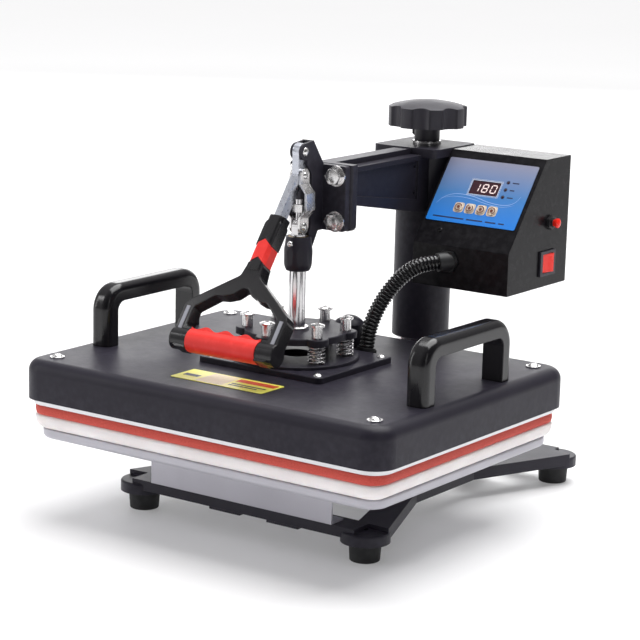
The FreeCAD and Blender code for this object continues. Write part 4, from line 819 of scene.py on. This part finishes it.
def smooth_line(points, steps):
    """A curve through the points, with a number of steps from each to the next."""
    line = []
    for k in range(len(points) - 1):
        near = [points[min(max(k + j, 0), len(points) - 1)] for j in (-1, 0, 1, 2)]
        for step in range(steps):
            line.append(tuple(between(*four, step / steps) for four in zip(*near)))
    line.append(points[-1])
    return line


RIBBON_STEPS = 10


def ribbon(points, width):
    """A band along a smooth curve through the points, drawn out thin at its ends."""
    line = smooth_line(points, RIBBON_STEPS)
    left, right = [], []
    for k, (x, y) in enumerate(line):
        ahead = line[min(k + 1, len(line) - 1)]
        behind = line[max(k - 1, 0)]
        along = Vector((ahead[0] - behind[0], ahead[1] - behind[1])).normalized()
        half = width * math.sin(math.pi * (k + 0.6) / (len(line) + 0.2)) ** 0.5 / 2.0
        left.append((x - along.y * half, y + along.x * half))
        right.append((x + along.y * half, y - along.x * half))
    return left + list(reversed(right))


# ---------------------------------------------------------------- control panel
# Places are across the membrane and up its slope, from its middle.
MEMBRANE_THICK = 0.00055
PRINT_HEIGHTS = (0.00003, 0.00008)
RAISED_HEIGHTS = (0.00003, 0.0001)

WINDOW_MIDDLE = (0.00095, 0.00515)
WINDOW_HALF = (0.0148, 0.0070)
WINDOW_LINES = ((0.0004, 0.0008), (0.0016, 0.0018))      # distances of their two sides from the window
DIGITS = "180"
DIGIT_FIRST = -0.0088
DIGIT_PITCH = 0.0090
DIGIT_HEIGHTS = (-0.00025, -0.00015)
DIGIT_HALF_WIDTH = 0.0026
DIGIT_HALF_HEIGHT = 0.0040
DIGIT_SLANT = 0.09
STROKE_HALF = 0.00055
STROKE_GAP = 0.0002
LIT_STROKES = {"0": "abcdef", "1": "bc", "8": "abcdefg"}

LAMP_X = 0.0225
LAMP_LOW = -0.0017
LAMP_STEP = 0.00775
LAMP_RIM = (0.0019, 0.00126)
LAMP_RIM_SWEEP = 359.9               # just short of a full turn, as a band has two ends
LAMP_RIM_POINTS = 28
LABEL_START = 0.0045
LABEL_HALF = 0.0006
LABEL_LENGTHS = (0.0062, 0.0048, 0.0070)

KEY_X = -0.0176
KEY_Y = -0.0176
KEY_STEP = 0.0118
KEY_COUNT = 4
KEY_TOP = 0.0014
KEY_TILE_HALF = 0.0052
KEY_TILE_CORNER = 0.0011
KEY_HOLE = 0.00456
KEY_MARK_THICK = 0.00006
KEY_ARC = (0.0037, 0.0029)
KEY_ARC_FIRST = 20.0
KEY_ARC_SWEEP = 300.0
KEY_DOT = (0.0015, 0.0001)
KEY_DOT_SWEEP = 359.0

LINE_SPAN = (-0.0297, -0.0284)
LINES = ((-0.0410, 0.0330), (-0.0050, 0.0170), (0.0150, 0.0110), (0.0290, 0.0060))     # start and length
WIDE_SWOOSH = 0.0006
WIDE_SWOOSH_POINTS = [
    (-0.043, -0.0160), (-0.037, -0.0085), (-0.026, -0.0040), (-0.008, -0.0046),
    (0.012, -0.0090), (0.028, -0.0098), (0.037, -0.0060), (0.041, 0.0010),
]
FINE_SWOOSH = 0.0004
FINE_SWOOSH_POINTS = [
    (-0.040, -0.0105), (-0.028, -0.0070), (-0.010, -0.0072),
    (0.010, -0.0108), (0.026, -0.0120), (0.038, -0.0085),
]


def joint(name):
    return next(j for j in frame["record"]["behaviour"]["joints"] if j["name"] == name)


def panel_frame():
    """Middle of the membrane's face: across, up the slope and outward."""
    low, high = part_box("membrane_panel")
    outward = -Vector(joint("key_push_1")["axis"]).normalized()
    across = Vector((1.0, 0.0, 0.0))
    middle = (low + high) / 2.0 + outward * MEMBRANE_THICK / 2.0
    turn = Matrix((across, outward.cross(across), outward)).transposed().to_4x4()
    return Matrix.Translation(middle) @ turn


def flat_piece(name, shape, ink_name, body="arm"):
    new_piece(name, mesh_from(name, shape, smooth=False), body, ink_name)


def digit_strokes(digit, x, y):
    """The lit strokes of one seven-segment figure."""
    wide, tall, thick = DIGIT_HALF_WIDTH, DIGIT_HALF_HEIGHT, STROKE_HALF
    level = {"a": (0, tall), "g": (0, 0), "d": (0, -tall)}
    upright = {"f": (-wide, tall / 2), "b": (wide, tall / 2), "e": (-wide, -tall / 2), "c": (wide, -tall / 2)}
    strokes = []
    for name in LIT_STROKES[digit]:
        if name in level:
            sx, sy = level[name]
            half = wide - STROKE_GAP
            shape = [(-half, 0), (-half + thick, -thick), (half - thick, -thick), (half, 0),
                     (half - thick, thick), (-half + thick, thick)]
        else:
            sx, sy = upright[name]
            half = tall / 2 - STROKE_GAP
            shape = [(0, -half), (thick, -half + thick), (thick, half - thick), (0, half),
                     (-thick, half - thick), (-thick, -half + thick)]
        strokes.append([(x + sx + px + DIGIT_SLANT * (sy + py), y + sy + py) for px, py in shape])
    return strokes


def add_window(place):
    """Two fine lines round the display, and its figures."""
    wx, wy = WINDOW_MIDDLE
    hx, hy = WINDOW_HALF

    def outline_at(grow):
        return box_outline(wx - hx - grow, wx + hx + grow, wy - hy - grow, wy + hy + grow)

    lines = [(outline_at(outer), outline_at(inner)) for inner, outer in WINDOW_LINES]
    flat_piece("window_frame", rings(lines, *RAISED_HEIGHTS, place), "print_white")
    strokes = []
    for k, digit in enumerate(DIGITS):
        strokes += digit_strokes(digit, wx + DIGIT_FIRST + DIGIT_PITCH * k, wy)
    flat_piece("display_digits", slabs(strokes, *DIGIT_HEIGHTS, place), "digit_pink")


def add_lamps(place):
    """A rim round each lamp, and a short bar beside it."""
    lamps = [(LAMP_X, LAMP_LOW + LAMP_STEP * k) for k in range(len(LABEL_LENGTHS))]
    labels = [
        box_outline(x + LABEL_START, x + LABEL_START + length, y - LABEL_HALF, y + LABEL_HALF)
        for (x, y), length in zip(lamps, LABEL_LENGTHS)
    ]
    rims = [arc_band(x, y, *LAMP_RIM, 0.0, LAMP_RIM_SWEEP, LAMP_RIM_POINTS) for x, y in lamps]
    flat_piece("lamp_labels", slabs(labels, *PRINT_HEIGHTS, place), "print_dark")
    flat_piece("lamp_rims", slabs(rims, *PRINT_HEIGHTS, place), "print_dark")


def add_key_tiles(place, keys):
    """A square tile round each key."""
    tiles = [(square_loop(x, y, KEY_TILE_HALF, KEY_TILE_CORNER), circle(x, y, KEY_HOLE)) for x, y in keys]
    flat_piece("key_tiles", rings(tiles, *RAISED_HEIGHTS, place), "tile_cream")


def add_lines(place):
    """Two curved lines across the membrane, and a row of bars along its foot."""
    swooshes = [ribbon(WIDE_SWOOSH_POINTS, WIDE_SWOOSH), ribbon(FINE_SWOOSH_POINTS, FINE_SWOOSH)]
    bars = [box_outline(x, x + length, *LINE_SPAN) for x, length in LINES]
    flat_piece("panel_swoosh", slabs(swooshes, *PRINT_HEIGHTS, place), "print_pale")
    flat_piece("panel_lines", slabs(bars, *PRINT_HEIGHTS, place), "print_dark")


def add_key_marks(place, keys):
    """An open circle with a dot on each key, turned a quarter from key to key."""
    for k, (x, y) in enumerate(keys):
        start = KEY_ARC_FIRST + 90.0 * k
        arc = arc_band(x, y, *KEY_ARC, start, start + KEY_ARC_SWEEP)
        dot = arc_band(x, y, *KEY_DOT, 0.0, KEY_DOT_SWEEP)
        shape = slabs([arc, dot], KEY_TOP, KEY_TOP + KEY_MARK_THICK, place)
        flat_piece("key_mark_%d" % (k + 1), shape, "print_brown", "key_button_%d" % (k + 1))


def add_panel():
    """What is printed on the membrane and its keys, as plain lines, bars and circles."""
    place = panel_frame()
    keys = [(KEY_X + KEY_STEP * k, KEY_Y) for k in range(KEY_COUNT)]
    add_window(place)
    add_lamps(place)
    add_key_tiles(place, keys)
    add_lines(place)
    add_key_marks(place, keys)


# ---------------------------------------------------------------- notice plate and set screw
NOTICE_MARGIN = 0.0016
NOTICE_HEIGHTS = (0.00001, 0.00005)
SCREW_RISE = 0.0069          # of the set screw above the foot of the knob's stem
SCREW_SOCKET = 0.0013
SCREW_AROUND = 24
SCREW_STEPS = ((0.0027, -0.001, 0.0010), (0.0021, 0.001, 0.0016))       # radius, inner and outer end


def add_notice():
    """Plain colour fields on the plate in front of the clamp."""
    low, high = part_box("notice_plate")
    place = Matrix.Translation(((low.x + high.x) / 2.0, (low.y + high.y) / 2.0, high.z))
    half_x = (high.x - low.x) / 2.0 - NOTICE_MARGIN
    half_y = (high.y - low.y) / 2.0 - NOTICE_MARGIN
    fields = {
        "notice_pale": ("print_cream", [box_outline(-half_x + 0.024, 0.004, -half_y, half_y)]),
        "notice_red": ("print_red", [box_outline(0.006, half_x - 0.001, half_y * 0.25, half_y * 0.85)]),
        "notice_bars": ("print_dark", [
            box_outline(-half_x + 0.003, -half_x + 0.019, -half_y * 0.35, half_y * 0.1),
            box_outline(0.008, half_x - 0.004, -half_y * 0.30, -half_y * 0.14),
            box_outline(0.008, half_x - 0.010, -half_y * 0.62, -half_y * 0.46),
        ]),
    }
    for name, (ink_name, outlines) in fields.items():
        flat_piece(name, slabs(outlines, *NOTICE_HEIGHTS, place), ink_name, "heater")


def add_set_screw():
    """A bright socket screw in the side of the knob's boss."""
    low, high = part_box("knob_stem")
    centre = (low.x, (low.y + high.y) / 2.0, low.z + SCREW_RISE)
    boss = Matrix.Translation(centre) @ Matrix.Rotation(math.radians(-90), 4, "Y")
    socket = circle(0.0, 0.0, SCREW_SOCKET, SCREW_AROUND)
    steps = []
    for radius, inner_end, outer_end in SCREW_STEPS:
        steps.append(rings([(circle(0.0, 0.0, radius, SCREW_AROUND), socket)], inner_end, outer_end, boss))
    new_piece("set_screw", mesh_from("set_screw", joined(steps), smooth=False), "knob", "zinc_steel")


add_camera()
add_studio()
add_floor()
finishes = finish_cad_nodes()
inks = mix_inks()
add_conduit()
add_springs()
add_pads()
add_panel()
add_notice()
add_set_screw()
